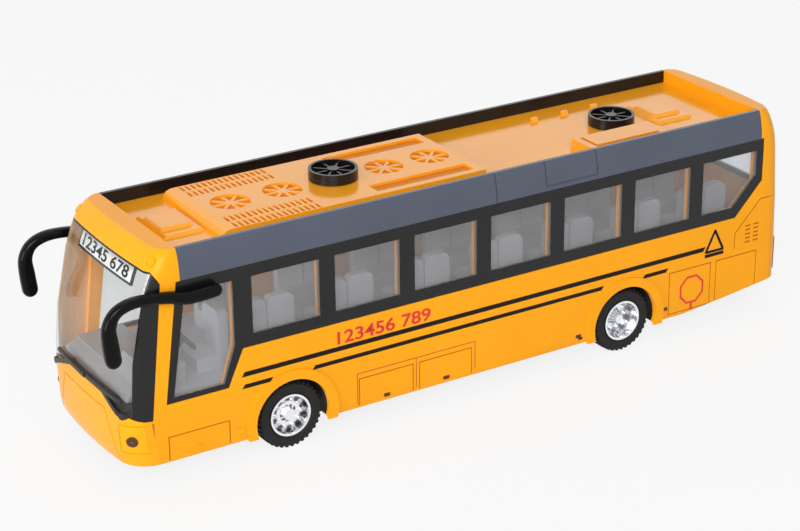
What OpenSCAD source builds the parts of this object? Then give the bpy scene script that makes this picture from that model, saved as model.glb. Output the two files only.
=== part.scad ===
// Toy coach with a friction drive, a sound button on the roof and two roof fans.
// +X points forward, +Y to the coach's left, +Z up, and the tyres stand on z = 0.
// All lengths are in millimetres.

/* [Body] */
// Length of the body shell from bumper to tail
body_l = 352.5; // [340:0.5:368]
// Width of the body shell
body_w = 80; // [77:0.5:86]
// Height of the roof rails above the ground
roof_h = 104.8; // [102:0.2:110]
// Height of the shell's lower edge above the ground
ride_h = 10.8; // [10.4:0.1:11.6]
// Wall of the body shell
wall = 2; // [1.7:0.1:2.3]
// How far the roof edge lies behind the bumper
nose_lean = 20.5; // [18:0.5:23]
// How far the roof edge lies ahead of the tail
tail_lean = 8; // [6:0.5:10]
// Bulge of the nose seen from above
nose_bulge = 1.2; // [0.6:0.1:2.4]
// Bulge of the tail seen from above
tail_bulge = 1.5; // [0.6:0.1:2.8]
// Radius of the upright corners
corner_r = 7; // [6:0.5:8]

/* [Glazing] */
// Height of the window band
band_h = 37.4; // [35:0.2:39]
// Height of the lower edge of the driver's window frame
driver_sill_h = 37.6; // [36:0.2:41]
// Height of the lower edge of the windshield
screen_sill_h = 31.8; // [30:0.2:34]
// Number of passenger windows on a side
window_count = 7; // [5:1:9]
// Width of the post between two windows
post_w = 7.6; // [6:0.2:9]
// Border of the black frame above and below the panes
band_border = 5.6; // [4.5:0.1:6.5]
// Thickness of the windshield and the rear window
glass_t = 1.6; // [1.2:0.1:1.9]
// Thickness of the black window frames
frame_t = 1.4; // [1.1:0.1:1.6]
// Thickness of the clear strip behind the frames
strip_t = 1; // [0.8:0.1:1.2]

/* [Wheels] */
// Distance between the axles
wheelbase = 178.5; // [172:0.5:184]
// Distance from the bumper to the front axle
front_overhang = 79; // [77:0.5:82]
// Outside diameter of a tyre
tyre_d = 31.2; // [30:0.2:32.4]
// Width of a tyre
tyre_w = 11.5; // [10:0.1:12]
// Diameter of the rim at its lip
rim_d = 19.6; // [18:0.2:21]
// Diameter of the steel axles
axle_d = 3; // [2.6:0.1:3.4]
// Space between a tyre and its arch
arch_gap = 2.4; // [1.8:0.1:3]
// Width of the raised lip around an arch
flare_w = 4.5; // [3.5:0.1:5.5]

/* [Roof] */
// Height of the slate coves along the roof edges
cove_h = 13.3; // [12:0.1:14.5]
// How far a cove leans in at its top
cove_lean = 3; // [2.4:0.1:3.6]
// Depth of the roof tray below the rails
tray_drop = 5.9; // [5.3:0.1:6.5]
// Length of the air-conditioning unit
ac_l = 132; // [124:0.5:136]
// Width of the air-conditioning unit
ac_w = 56; // [52:0.5:60]
// Height of the air-conditioning unit above the tray
ac_h = 4.4; // [4:0.1:5]
// Diameter of the moulded fan vents
vent_d = 17.6; // [15:0.2:19]
// Diameter of the spoked roof fans
fan_d = 22; // [19:0.5:24]
// Height of the spoked roof fans
fan_h = 5.1; // [4.4:0.1:5.8]
// Length of the sound button
button_l = 34; // [28:0.5:37]
// Width of the sound button
button_w = 11.5; // [9.5:0.5:13]
// Travel of the sound button
button_travel = 1.5; // [1:0.1:2]

/* [Mirrors] */
// How far the mirrors reach ahead of the bumper
mirror_reach = 7.5; // [5:0.5:11]
// Length of a mirror from its base to its front
mirror_l = 54; // [50:0.5:60]
// Height of a mirror from its head to the top of its arm
mirror_h = 28; // [26:0.2:32]
// Thickness of the mirror arm
mirror_arm = 5.6; // [5:0.1:6.4]
// Width of the mirror arm across the coach
mirror_w = 5; // [4:0.1:6]

/* [Interior] */
// Height of the underside of the seat tray
floor_h = 38; // [37:0.2:40]
// Height of the seat backs above the seat floor
seat_h = 26.5; // [22:0.5:30]
// Width of one seat
seat_w = 13; // [11:0.2:14]

/* [Chassis] */
// Height of the chassis plate's underside
chassis_h = 11; // [10.7:0.1:11.4]
// Thickness of the chassis plate
chassis_t = 2; // [1.7:0.1:2.4]
// Diameter of the screw shanks
screw_d = 2.6; // [2.2:0.1:3]
// Diameter of the loudspeaker
speaker_d = 28; // [24:0.5:31]
// Diameter of a button cell
cell_d = 11.6; // [11:0.1:12]
// Height of a button cell
cell_h = 5.4; // [4.8:0.1:5.8]

/* [Drive] */
// Module of the gear teeth
gear_module = 0.5; // [0.48:0.01:0.52]
// Teeth of the gear on the rear axle
axle_teeth = 26; // [24:1:27]
// Teeth of the idler wheel
idler_teeth = 28; // [26:1:28]
// Teeth of both pinions
pinion_teeth = 12; // [12:1:13]
// Diameter of the flywheel
flywheel_d = 16.2; // [14:0.2:16.6]
// Thickness of the flywheel
flywheel_t = 6.5; // [5.5:0.1:7]

/* [Hidden] */
$fn = 48;

// Shared fits: overrun of a cut, seat between fixed pieces, gap beside a moving one, running fit
overrun = 1;
seat_gap = 0.1;
move_gap = 0.3;
run_gap = 0.05;
// Thickness of the slices that the envelope is stretched over
slice_t = 0.02;
// Steps of an upright corner and of half a bulge
corner_steps = 6;
bulge_steps = 4;

// The tail lights stand this far proud of the tail
tail_proud = 0.6;
x_tail = tail_proud - (tail_proud + body_l + mirror_reach) / 2;
x_nose = x_tail + body_l;
half_w = body_w / 2;
body_h = roof_h - ride_h;
cove_z = roof_h - cove_h;
sill_h = cove_z - band_h;
tray_z = roof_h - tray_drop;
axle_z = tyre_d / 2;
rear_overhang = body_l - front_overhang - wheelbase;
front_axle_x = x_nose - front_overhang;
rear_axle_x = front_axle_x - wheelbase;
inner_y = half_w - wall;
far = body_l;

// Rows of the outer form: share of the height, then of the nose lean, tail lean and cove lean,
// then the radius of the nose's corners as a share of the tail's
profile_shares = [
    [0, 0.08, 0.02, 0.2, 2], [0.03, 0.025, 0, 0, 2], [0.08, 0, 0, 0, 1.9], [0.26, 0, 0, 0, 1.6],
    [0.365, 0.048, 0.04, 0, 1.45], [0.51, 0.156, 0.09, 0, 1.2], [0.777, 0.458, 0.3, 0, 1],
    [0.857, 0.585, 0.42, 0, 1], [0.906, 0.676, 0.55, 0.13, 1], [0.954, 0.8, 0.72, 0.42, 1],
    [0.985, 0.907, 0.87, 0.72, 1], [1, 1, 1, 1, 1]
];

// How far the nose lies behind the bumper at height z
function nose_back(z) =
    nose_lean * lookup((z - ride_h) / body_h, [for (row = profile_shares) [row[0], row[1]]]);

function quarter(cx, cy, r, from) = [
    for (i = [0 : corner_steps])
        let (a = from + 90 * i / corner_steps)
        [cx + r * cos(a), cy + r * sin(a)]
];

// Outline seen from above: bulged nose and tail, rounded corners
function plan(nose, tail, half, nose_r, r) =
    let (run = half - r, nose_run = half - nose_r)
    concat(
        [for (i = [1 - bulge_steps : bulge_steps - 1])
            let (s = i / bulge_steps)
            [nose - nose_bulge * s * s, nose_run * s]],
        quarter(nose - nose_bulge - nose_r, nose_run, nose_r, 0),
        quarter(tail + tail_bulge + r, run, r, 90),
        [for (i = [1 - bulge_steps : bulge_steps - 1])
            let (s = i / bulge_steps)
            [tail + tail_bulge * s * s, -run * s]],
        quarter(tail + tail_bulge + r, -run, r, 180),
        quarter(nose - nose_bulge - nose_r, -nose_run, nose_r, 270)
    );

function slice_z(share, inset) =
    share == 0
        ? ride_h - (inset > 0 ? overrun : 0)
        : min(ride_h + share * body_h, roof_h - inset) - slice_t;

// The outer form of the coach, moved inwards by inset
module envelope(inset) {
    hull()
        for (row = profile_shares)
            translate([0, 0, slice_z(row[0], inset)])
                linear_extrude(height = slice_t)
                    polygon(plan(
                        x_nose - nose_lean * row[1] - inset,
                        x_tail + tail_lean * row[2] + inset,
                        half_w - cove_lean * row[3] - inset,
                        corner_r * row[4] - inset,
                        corner_r - inset
                    ));
}

// A skin of the outer form between two depths
module skin(from, to) {
    difference() {
        envelope(from);
        envelope(to);
    }
}

module box(x0, x1, y0, y1, z0, z1) {
    translate([x0, y0, z0])
        cube([x1 - x0, y1 - y0, z1 - z0]);
}

// Child outline drawn in x and z, made a plate whose outer face lies at y_face
module side_plate(y_face, t) {
    translate([0, y_face, 0])
        rotate([90, 0, 0])
            linear_extrude(height = t)
                children();
}

// Child outline drawn in y and z, made a plate that runs from x0 forward
module cross_plate(x0, t) {
    translate([x0, 0, 0])
        rotate([90, 0, 90])
            linear_extrude(height = t)
                children();
}

// Cylinder along y, centred on y
module bar_y(x, y, z, d, l) {
    translate([x, y + l / 2, z])
        rotate([90, 0, 0])
            cylinder(d = d, h = l);
}

module both_sides() {
    children();
    mirror([0, 1, 0])
        children();
}

// Side glazing
driver_setback = 19.9;
driver_rake = 7.2;
driver_back = 56.5;
driver_cut = 7.5;
driver_post = 3.7;
driver_border = 2.4;
driver_cut_share = 0.75;
glazing_start = 61.5;
glazing_end = 19;
band_end = 14.9;
quarter_cut_l = 15.6;
quarter_cut_h = 16;
quarter_pane_share = 0.88;
frame_recess = 0.2;
opening_drop = 2.6;
backing_t = 1.9;
backing_rim = 2;
frame_y = half_w - frame_recess;
strip_y = frame_y - frame_t;
pocket_y = strip_y - strip_t;
backing_y = pocket_y - backing_t;
pane_z0 = sill_h + band_border;
pane_z1 = cove_z - band_border;
pane_run = body_l - glazing_start - glazing_end - (window_count - 1) * post_w;
pane_w = pane_run / window_count;
band_tail_x = x_tail + band_end;

module band_outline(grow) {
    polygon([
        [x_nose - driver_setback + grow, driver_sill_h - grow],
        [x_nose - driver_setback - driver_rake + grow, cove_z],
        [band_tail_x - grow, cove_z],
        [band_tail_x - grow, sill_h + quarter_cut_h - grow],
        [band_tail_x + quarter_cut_l - grow, sill_h - grow],
        [x_nose - driver_back - grow, sill_h - grow],
        [x_nose - driver_back + driver_cut - grow, driver_sill_h - grow]
    ]);
}

function pane_x(i) = x_nose - glazing_start - i * (pane_w + post_w);

// Pane i from the front; drop lowers and raises its edges, shrink draws them in
module pane_outline(i, shrink, drop) {
    x1 = pane_x(i) - shrink;
    x0 = pane_x(i) - pane_w + shrink;
    z0 = pane_z0 + shrink - drop;
    z1 = pane_z1 - shrink;
    cut_l = i == window_count - 1 ? quarter_cut_l * quarter_pane_share : 0;
    cut_h = i == window_count - 1 ? quarter_cut_h * quarter_pane_share : 0;
    polygon(cut_l == 0
        ? [[x1, z0], [x1, z1], [x0, z1], [x0, z0]]
        : [[x1, z0], [x1, z1], [x0, z1], [x0, z0 + cut_h], [x0 + cut_l, z0]]);
}

module driver_pane_outline(shrink, drop) {
    x_rear = x_nose - driver_back + driver_post + shrink;
    x_low = x_nose - driver_setback - driver_post - shrink;
    x_high = x_low - driver_rake;
    z0 = driver_sill_h + driver_border + shrink - drop / 2;
    polygon([
        [x_low, z0],
        [x_high, pane_z1 - shrink],
        [x_rear, pane_z1 - shrink],
        [x_rear, sill_h + driver_border],
        [x_rear + driver_cut * driver_cut_share, z0]
    ]);
}

module panes_outline(shrink, drop) {
    driver_pane_outline(shrink, drop);
    for (i = [0 : window_count - 1])
        pane_outline(i, shrink, drop);
}

module window_frame() {
    color("#262628")
        side_plate(frame_y, frame_t)
            difference() {
                band_outline(-seat_gap);
                panes_outline(0, 0);
            }
}

module window_panes() {
    color("#a7acb0", 0.5) {
        side_plate(strip_y, strip_t)
            band_outline(-frame_t);
        side_plate(frame_y, frame_t + strip_t / 2)
            panes_outline(seat_gap, 0);
    }
}

// Windshield, rear window and the parts set into nose and tail
pillar_in = 13.6;
pillar_top_in = 8;
brow_side_share = 0.1362;
brow_in = 2.9;
brow_share = 0.083;
pillar_w = 2.6;
screen_border = 0.8;
screen_arch = 8;
arch_steps = 8;
glass_recess = 0.15;
sign_w = 52;
sign_h = 8.4;
sign_t = 1;
rear_sill_rise = 5.9;
rear_top_drop = 4.5;
rear_light_gap = 0.7;
rear_border = 3;
tail_zone = 16;
light_h = 16.5;
light_w = 7.5;
light_inset = 3.2;
light_z = 20.5;
pillar_y = half_w - pillar_w;
brow_z = roof_h - body_h * brow_share;
brow_side_z = roof_h - body_h * brow_side_share;
pillar_setback = nose_back(screen_sill_h) + pillar_in;
pillar_top_setback = nose_back(brow_side_z) + pillar_top_in;
brow_setback = nose_back(brow_z) + brow_in;
rear_sill_h = sill_h + rear_sill_rise;
rear_glass_h = cove_z - rear_top_drop - rear_sill_h;
light_y = half_w - light_inset - light_w;

// Sill of the windshield at a share of its half width: arched, and low at the pillars
function sill_z(share) = screen_sill_h + screen_arch * (1 - pow(share, 4));

// Front view of the windshield: half width, sill raised by low, top at z
module screen_outline(half, low, top) {
    polygon(concat(
        [[half, top], [-half, top]],
        [for (i = [-arch_steps : arch_steps])
            let (share = i / arch_steps)
            [half * share, sill_z(share * half / half_w) + low]]
    ));
}

module across_nose() {
    cross_plate(x_nose - nose_lean - wall, nose_lean + wall + overrun)
        children();
}

// Space that the windshield and its frame fill
module screen_zone(grow) {
    intersection() {
        side_plate(half_w + overrun, body_w + 2 * overrun)
            polygon([
                [x_nose - pillar_setback - grow, screen_sill_h - grow],
                [x_nose - pillar_top_setback - grow, brow_side_z + grow],
                [x_nose - brow_setback, brow_z + grow],
                [x_nose + overrun, brow_z + grow],
                [x_nose + overrun, screen_sill_h - grow]
            ]);
        across_nose()
            screen_outline(half_w, -grow, roof_h);
    }
}

module screen_piece() {
    intersection() {
        skin(glass_recess, glass_recess + glass_t);
        screen_zone(-seat_gap);
    }
}

module screen_opening(shrink) {
    edge = screen_border + shrink;
    across_nose()
        screen_outline(pillar_y - shrink, edge, brow_z - edge);
}

module windshield() {
    color("#b9bdc0", 0.4)
        intersection() {
            screen_piece();
            screen_opening(seat_gap);
        }
}

module windshield_frame() {
    color("#262628")
        difference() {
            screen_piece();
            screen_opening(0);
        }
}

module sign_board() {
    back = glass_recess + glass_t + seat_gap;
    top = brow_z - screen_border;
    color("#e8e8e4")
        intersection() {
            skin(back, back + sign_t);
            box(x_nose - nose_lean, x_nose, -sign_w / 2, sign_w / 2, top - sign_h, top);
        }
}

module rear_zone(shrink) {
    side = light_y - rear_light_gap - shrink;
    z1 = rear_sill_h + rear_glass_h - shrink;
    box(x_tail - overrun, x_tail + tail_zone, -side, side, rear_sill_h + shrink, z1);
}

module rear_piece() {
    intersection() {
        skin(glass_recess, glass_recess + glass_t);
        rear_zone(seat_gap);
    }
}

module rear_window() {
    color("#b9bdc0", 0.4)
        intersection() {
            rear_piece();
            rear_zone(rear_border + seat_gap);
        }
}

module rear_window_frame() {
    color("#262628")
        difference() {
            rear_piece();
            rear_zone(rear_border);
        }
}

module light_zone(grow) {
    x0 = x_tail - tail_proud - overrun;
    y1 = light_y + light_w + grow;
    z1 = light_z + light_h + grow;
    box(x0, x_tail + tail_zone, light_y - grow, y1, light_z - grow, z1);
}

module tail_light() {
    color("#a4161a")
        intersection() {
            skin(-tail_proud, wall);
            light_zone(0);
        }
}

// Roof: coves, tray, air-conditioning unit, hatches and the button's block
cove_start = 29.1;
cove_end = 16.6;
tray_start = 29.1;
tray_end = 16.6;
rail_t = 1.8;
panel_t = 2;
foot_w = 3.5;
foot_t = 2;
ledge_w = 4;
groove_w = 0.6;
groove_d = 0.4;
cove_seam_share = 0.507;
cove_hatch_shares = [0.594, 0.686];
cove_hatch_drop = 11.4;
roof_half = half_w - cove_lean - rail_t;
cove_front_x = x_nose - cove_start;
cove_rear_x = x_tail + cove_end;
cove_l = cove_front_x - cove_rear_x;
tray_front_x = x_nose - tray_start;
tray_rear_x = x_tail + tray_end;
panel_z = tray_z - panel_t;

ac_start = 54.5;
ac_ramp = 6;
ac_wall = 1.8;
vent_depth = 1.2;
vent_dish = 0.5;
vent_hub_d = 4.4;
vent_spoke_w = 1.5;
vent_shares = [0.144, 0.337, 0.727, 0.909];
fan_share = 0.53;
// Curve of the front: shares of the ramp's length and height
ac_front_shares = [[0, 0], [0.1, 0.5], [0.35, 0.84], [0.65, 0.97], [1, 1]];
spokes = 8;
grille_start = 1.6;
grille_l = 42.5;
grille_in = 14.2;
grille_row_w = 5.8;
grille_row_gap = 1.6;
slot_count = 16;
slot_w = 1.3;
trough_start = 78;
trough_l = 50;
trough_in = 16.5;
trough_w = 8;
ac_front_x = x_nose - ac_start;
ac_z = tray_z + ac_h;

hatch_l = 19;
hatch_w = 28;
hatch_step = 1.4;
hatch_slope = 1;
hatch_top_shares = [0.78, 0.62];
hatch_front = 44.8;
hatch_rear = 47.6;
clip_l = 3.4;
clip_w = 2.2;
clip_h = 2;
clip_in = 12;
clip_share_step = 0.057;
clip_first_share = 0.713;

block_share = 0.4352;
block_l = 44;
block_w = 17;
block_h = 5.2;
block_ramp = 0.8;
button_proud = 0.6;
flange_w = 1.4;
flange_t = 1.5;
stem_d = 6;
stem_l = 6;
switch_w = 6;
switch_h = 3.5;
board_t = 1.6;
board_end = 8;
board_w = 10;
post_d = 4;
block_y = roof_half - seat_gap - block_w / 2;
block_run = ac_front_x - ac_l - x_tail - block_l;
block_x = ac_front_x - ac_l - block_run * block_share - block_l / 2;
stem_z = panel_z - move_gap - flange_t - stem_l;
button_board_z = stem_z - button_travel - move_gap - switch_h - board_t;

fan_rim = 1.3;
fan_hub_share = 0.86;
fan_spoke_share = 0.76;
fan_hub_d = 5.4;
fan_pin_d = 3;
fan_spoke_w = 0.8;
fan_rear_end = 76;

module roof_opening() {
    y1 = half_w + overrun;
    box(tray_rear_x, tray_front_x, -y1, y1, cove_z, roof_h + overrun);
    both_sides()
        box(cove_rear_x, cove_front_x, roof_half, y1, cove_z, roof_h + overrun);
}

// Walls and ledges that close the shell at both ends of the tray
module tray_ends() {
    y1 = roof_half;
    y2 = roof_half - foot_w - move_gap;
    z0 = panel_z - foot_t;
    box(tray_front_x, tray_front_x + wall, -y1, y1, z0, roof_h - wall / 2);
    box(tray_front_x - ledge_w, tray_front_x + wall, -y2, y2, z0, panel_z);
    box(tray_rear_x - wall, tray_rear_x, -y1, y1, z0, roof_h - wall / 2);
    box(tray_rear_x - wall, tray_rear_x + ledge_w, -y2, y2, z0, panel_z);
}

module cove_lines() {
    seam_x = cove_front_x - cove_l * cove_seam_share;
    x1 = cove_front_x - cove_l * cove_hatch_shares[0];
    x0 = cove_front_x - cove_l * cove_hatch_shares[1];
    z0 = roof_h - cove_hatch_drop;
    y1 = half_w + overrun;
    box(seam_x, seam_x + groove_w, roof_half + rail_t, y1, cove_z - overrun, roof_h + overrun);
    box(x0, x0 + groove_w, roof_half + rail_t, y1, z0, roof_h + overrun);
    box(x1, x1 + groove_w, roof_half + rail_t, y1, z0, roof_h + overrun);
    box(x0, x1, roof_half + rail_t, y1, z0, z0 + groove_w);
}

module roof_cove() {
    x0 = cove_rear_x + seat_gap;
    x1 = cove_front_x - seat_gap;
    y1 = half_w + overrun;
    foot_y = roof_half - foot_w;
    color("#4b5569")
        difference() {
            union() {
                intersection() {
                    envelope(0);
                    box(x0, x1, roof_half, y1, cove_z, roof_h);
                }
                difference() {
                    box(tray_rear_x + seat_gap, tray_front_x - seat_gap, foot_y, roof_half + rail_t,
                        panel_z - foot_t, panel_z);
                    box(block_x - block_l / 2, block_x + block_l / 2, foot_y - overrun, roof_half,
                        panel_z - foot_t - overrun, panel_z + overrun);
                }
            }
            difference() {
                cove_lines();
                envelope(groove_d);
            }
        }
}

// Air-conditioning unit; shrink draws its faces in, drop sinks its underside
module ac_block(shrink, drop) {
    x1 = ac_front_x - shrink;
    x0 = ac_front_x - ac_l + shrink;
    z0 = tray_z - drop;
    rise = ac_z - shrink - z0;
    side_plate(ac_w / 2 - shrink, ac_w - 2 * shrink)
        polygon(concat(
            [for (row = ac_front_shares) [x1 - ac_ramp * row[0], z0 + rise * row[1]]],
            [[x0, z0 + rise], [x0, z0]]
        ));
}

module spoke_star(d, w, h) {
    for (i = [0 : spokes / 2 - 1])
        rotate([0, 0, i * 360 / spokes])
            translate([-d / 2, -w / 2, 0])
                cube([d, w, h]);
}

// Round vent: a shallow dish with blades and a hub standing in it
module vent_cut() {
    blade_h = vent_depth - vent_dish;
    difference() {
        cylinder(d = vent_d, h = vent_depth + overrun);
        cylinder(d = vent_hub_d, h = blade_h);
        spoke_star(vent_d, vent_spoke_w, blade_h);
    }
}

module grille_cut() {
    pitch = grille_l / slot_count;
    for (row = [0, 1])
        for (i = [0 : slot_count - 1]) {
            x1 = ac_front_x - ac_ramp - grille_start - i * pitch;
            y0 = grille_in + row * (grille_row_w + grille_row_gap);
            box(x1 - slot_w, x1, y0, y0 + grille_row_w, ac_z - vent_depth, ac_z + overrun);
        }
}

module trough_cut() {
    x1 = ac_front_x - trough_start;
    box(x1 - trough_l, x1, trough_in, trough_in + trough_w, ac_z - vent_depth, ac_z + overrun);
}

// Plate with sloped edges that ends at x in front and rises from z
module sloped_plate(x, l, w, z) {
    z1 = z + hatch_step;
    intersection() {
        side_plate(w / 2, w)
            polygon([
                [x, panel_z],
                [x, z],
                [x - hatch_slope, z1],
                [x - l + hatch_slope, z1],
                [x - l, z],
                [x - l, panel_z]
            ]);
        cross_plate(x - l, l)
            polygon([
                [w / 2, panel_z],
                [w / 2, z],
                [w / 2 - hatch_slope, z1],
                [hatch_slope - w / 2, z1],
                [-w / 2, z],
                [-w / 2, panel_z]
            ]);
    }
}

module hatch(x) {
    x1 = x + hatch_l / 2;
    l2 = hatch_l * hatch_top_shares[0];
    w2 = hatch_w * hatch_top_shares[1];
    sloped_plate(x1, hatch_l, hatch_w, tray_z);
    sloped_plate(x1 - hatch_slope, l2, w2, tray_z + hatch_step);
}

// Small wedge that stands on the tray beside a rail
module rail_clip(x) {
    y1 = roof_half - clip_in;
    cross_plate(x - clip_l / 2, clip_l)
        polygon([
            [y1, panel_z],
            [y1, tray_z + clip_h],
            [y1 - clip_w / 2, tray_z + clip_h],
            [y1 - clip_w, tray_z],
            [y1 - clip_w, panel_z]
        ]);
}

module button_block() {
    x1 = block_x + block_l / 2;
    x0 = block_x - block_l / 2;
    side_plate(block_y + block_w / 2, block_w)
        polygon([
            [x1, panel_z],
            [x1, tray_z],
            [x1 - block_ramp, tray_z + block_h],
            [x0, tray_z + block_h],
            [x0, panel_z]
        ]);
}

module button_prism(grow, z0, z1) {
    l = button_l / 2 + grow;
    w = button_w / 2 + grow;
    box(block_x - l, block_x + l, block_y - w, block_y + w, z0, z1);
}

function fan_front_x() = ac_front_x - ac_l * fan_share;
function fan_rear_x() = x_tail + fan_rear_end;
function post_x() = button_l / 2 + board_end / 2;

module roof_panel() {
    y1 = roof_half - seat_gap;
    color("#f2a51f")
        difference() {
            union() {
                difference() {
                    union() {
                        box(tray_rear_x + seat_gap, tray_front_x - seat_gap, -y1, y1, panel_z, tray_z);
                        ac_block(0, panel_t / 2);
                    }
                    ac_block(ac_wall, panel_t + overrun);
                }
                hatch(x_nose - hatch_front);
                hatch(x_tail + hatch_rear);
                button_block();
                for (i = [0 : 2])
                    mirror([0, 1, 0])
                        rail_clip(cove_front_x - cove_l * (clip_first_share + i * clip_share_step));
                for (s = [-1, 1])
                    translate([block_x + s * post_x(), block_y, button_board_z + board_t])
                        cylinder(d = post_d, h = panel_z + panel_t / 2 - button_board_z - board_t);
            }
            for (share = vent_shares)
                translate([ac_front_x - ac_l * share, 0, ac_z - vent_depth])
                    vent_cut();
            both_sides() {
                grille_cut();
                trough_cut();
            }
            button_prism(move_gap, panel_z - overrun, roof_h + overrun);
            translate([fan_front_x(), 0, panel_z])
                cylinder(d = fan_pin_d + 2 * run_gap, h = roof_h - panel_z);
            translate([fan_rear_x(), 0, panel_z - overrun])
                cylinder(d = fan_pin_d + 2 * run_gap, h = roof_h - panel_z);
        }
}

// Spoked rotor on a pin; z is the face that it turns on and seat the wall under it
module roof_fan(x, z, seat) {
    color("#1d1d1f")
        translate([x, 0, z + move_gap]) {
            difference() {
                cylinder(d = fan_d, h = fan_h - move_gap);
                translate([0, 0, -overrun])
                    cylinder(d = fan_d - 2 * fan_rim, h = fan_h + 2 * overrun);
            }
            spoke_star(fan_d - fan_rim, fan_spoke_w, fan_h * fan_spoke_share);
            cylinder(d = fan_hub_d, h = fan_h * fan_hub_share);
            translate([0, 0, -move_gap - seat])
                cylinder(d = fan_pin_d, h = seat + fan_h / 2);
        }
}

module roof_fan_front() {
    roof_fan(fan_front_x(), ac_z, ac_wall);
}

module roof_fan_rear() {
    roof_fan(fan_rear_x(), tray_z, panel_t);
}

module sound_button() {
    flange_z = panel_z - move_gap - flange_t;
    color("#f2a51f") {
        button_prism(0, flange_z, tray_z + block_h + button_proud);
        button_prism(flange_w, flange_z, flange_z + flange_t);
        translate([block_x, block_y, stem_z])
            cylinder(d = stem_d, h = stem_l + flange_t / 2);
    }
}

module button_board() {
    half_l = button_l / 2 + board_end;
    z1 = button_board_z + board_t;
    color("#2f6b3a") {
        box(block_x - half_l, block_x + half_l, block_y - board_w / 2, block_y + board_w / 2,
            button_board_z, z1);
        box(block_x - switch_w / 2, block_x + switch_w / 2, block_y - switch_w / 2,
            block_y + switch_w / 2, z1 - board_t / 2, z1 + switch_h);
    }
}

// Mirrors: shares of the mirror's length and height, and of its arm's thickness
mirror_shares = [
    [0.056, 0.818, 1], [0.278, 0.803, 1], [0.444, 0.873, 0.86], [0.63, 0.924, 0.8],
    [0.778, 0.917, 0.84], [0.889, 0.822, 0.88], [0.944, 0.627, 1.04], [0.941, 0.389, 1.2],
    [0.926, 0.108, 1.22]
];
curve_steps = 4;
cap_steps = 8;
mirror_top_drop = 14.6;
mirror_z = roof_h - mirror_top_drop - mirror_h;
mirror_x = x_nose + mirror_reach - mirror_l;

// Point, thickness share and direction on the arm's curve between knots i and i + 1
function knot_row(i) = mirror_shares[max(0, min(len(mirror_shares) - 1, i))];
function curve(i, t) =
    let (a = knot_row(i - 1), b = knot_row(i), c = knot_row(i + 1), d = knot_row(i + 2))
    (2 * b + (c - a) * t + (2 * a - 5 * b + 4 * c - d) * t * t + (3 * b - a - 3 * c + d) * t * t * t) / 2;
function place(row) = [mirror_x + mirror_l * row[0], mirror_z + mirror_h * row[1]];
mirror_path = concat(
    [for (i = [0 : len(mirror_shares) - 2]) for (k = [0 : curve_steps - 1]) curve(i, k / curve_steps)],
    [knot_row(len(mirror_shares) - 1)]
);
mirror_last = len(mirror_path) - 1;

// Direction of the arm at point i of its path, as an angle
function heading(i) =
    let (step = place(mirror_path[min(i + 1, mirror_last)]) - place(mirror_path[max(i - 1, 0)]))
    atan2(step[1], step[0]);
function edge_point(i, turn) =
    let (a = heading(i) + turn, r = mirror_path[i][2] * mirror_arm / 2)
    place(mirror_path[i]) + r * [cos(a), sin(a)];

module mirror_piece() {
    color("#1d1d1f")
        side_plate(half_w + seat_gap + mirror_w, mirror_w)
            polygon(concat(
                [for (i = [0 : mirror_last]) edge_point(i, 90)],
                [for (k = [1 : cap_steps - 1]) edge_point(mirror_last, 90 - 180 * k / cap_steps)],
                [for (i = [mirror_last : -1 : 0]) edge_point(i, -90)],
                [for (k = [1 : cap_steps - 1]) edge_point(0, 270 - 180 * k / cap_steps)]
            ));
}

// Wipers: bars that follow the windshield
wiper_gap = 0.2;
wiper_t = 1.3;
blade_l = 29;
blade_w = 1.5;
blade_rise = 2.4;
blade_tilt = -1.5;
wiper_arm_w = 1.8;
left_blade_y = 20;
left_arm = [15, -7];
right_blade_y = -11;
right_arm = [-17.5, -6];
pivot_d = 3;

// Blade centred at y, with an arm from its middle to a pivot at the given step
module wiper(y, arm) {
    z = screen_sill_h + screen_arch + blade_rise;
    color("#1d1d1f")
        intersection() {
            skin(-wiper_gap - wiper_t, -wiper_gap);
            across_nose()
                translate([y, z]) {
                    rotate(blade_tilt)
                        square([blade_l, blade_w], center = true);
                    rotate(atan2(arm[1], arm[0]))
                        translate([0, -wiper_arm_w / 2])
                            square([norm(arm), wiper_arm_w]);
                    translate(arm)
                        circle(d = pivot_d);
                }
        }
}

// Wheels
rim_lip = 0.8;
rim_lip_t = 0.9;
rim_wall = 1;
front_dish = 2.6;
rear_dish = 6.5;
hub_d = 9;
stud_d = 1.3;
stud_h = 0.9;
stud_count = 10;
stud_share = 0.68;
hub_rise = 1.9;
cone_top_d = 4;
cone_rise = 4.2;
bore_cover = 1;
wheel_inset = 2;
tread_depth = 0.9;
tread_lip = 0.15;
tread_side = 0.5;
tread_w = 3.2;
tread_count = 36;
sidewall = 2.6;
arch_r = tyre_d / 2 + arch_gap;
wheel_y = half_w - wheel_inset - tyre_w / 2;
bead_r = rim_d / 2 - rim_lip;

// Wheels are drawn with their axis along z and their outer face up
module at_wheel(x, side) {
    translate([x, side * wheel_y, axle_z])
        rotate([-90 * side, 0, 0])
            children();
}

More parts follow.
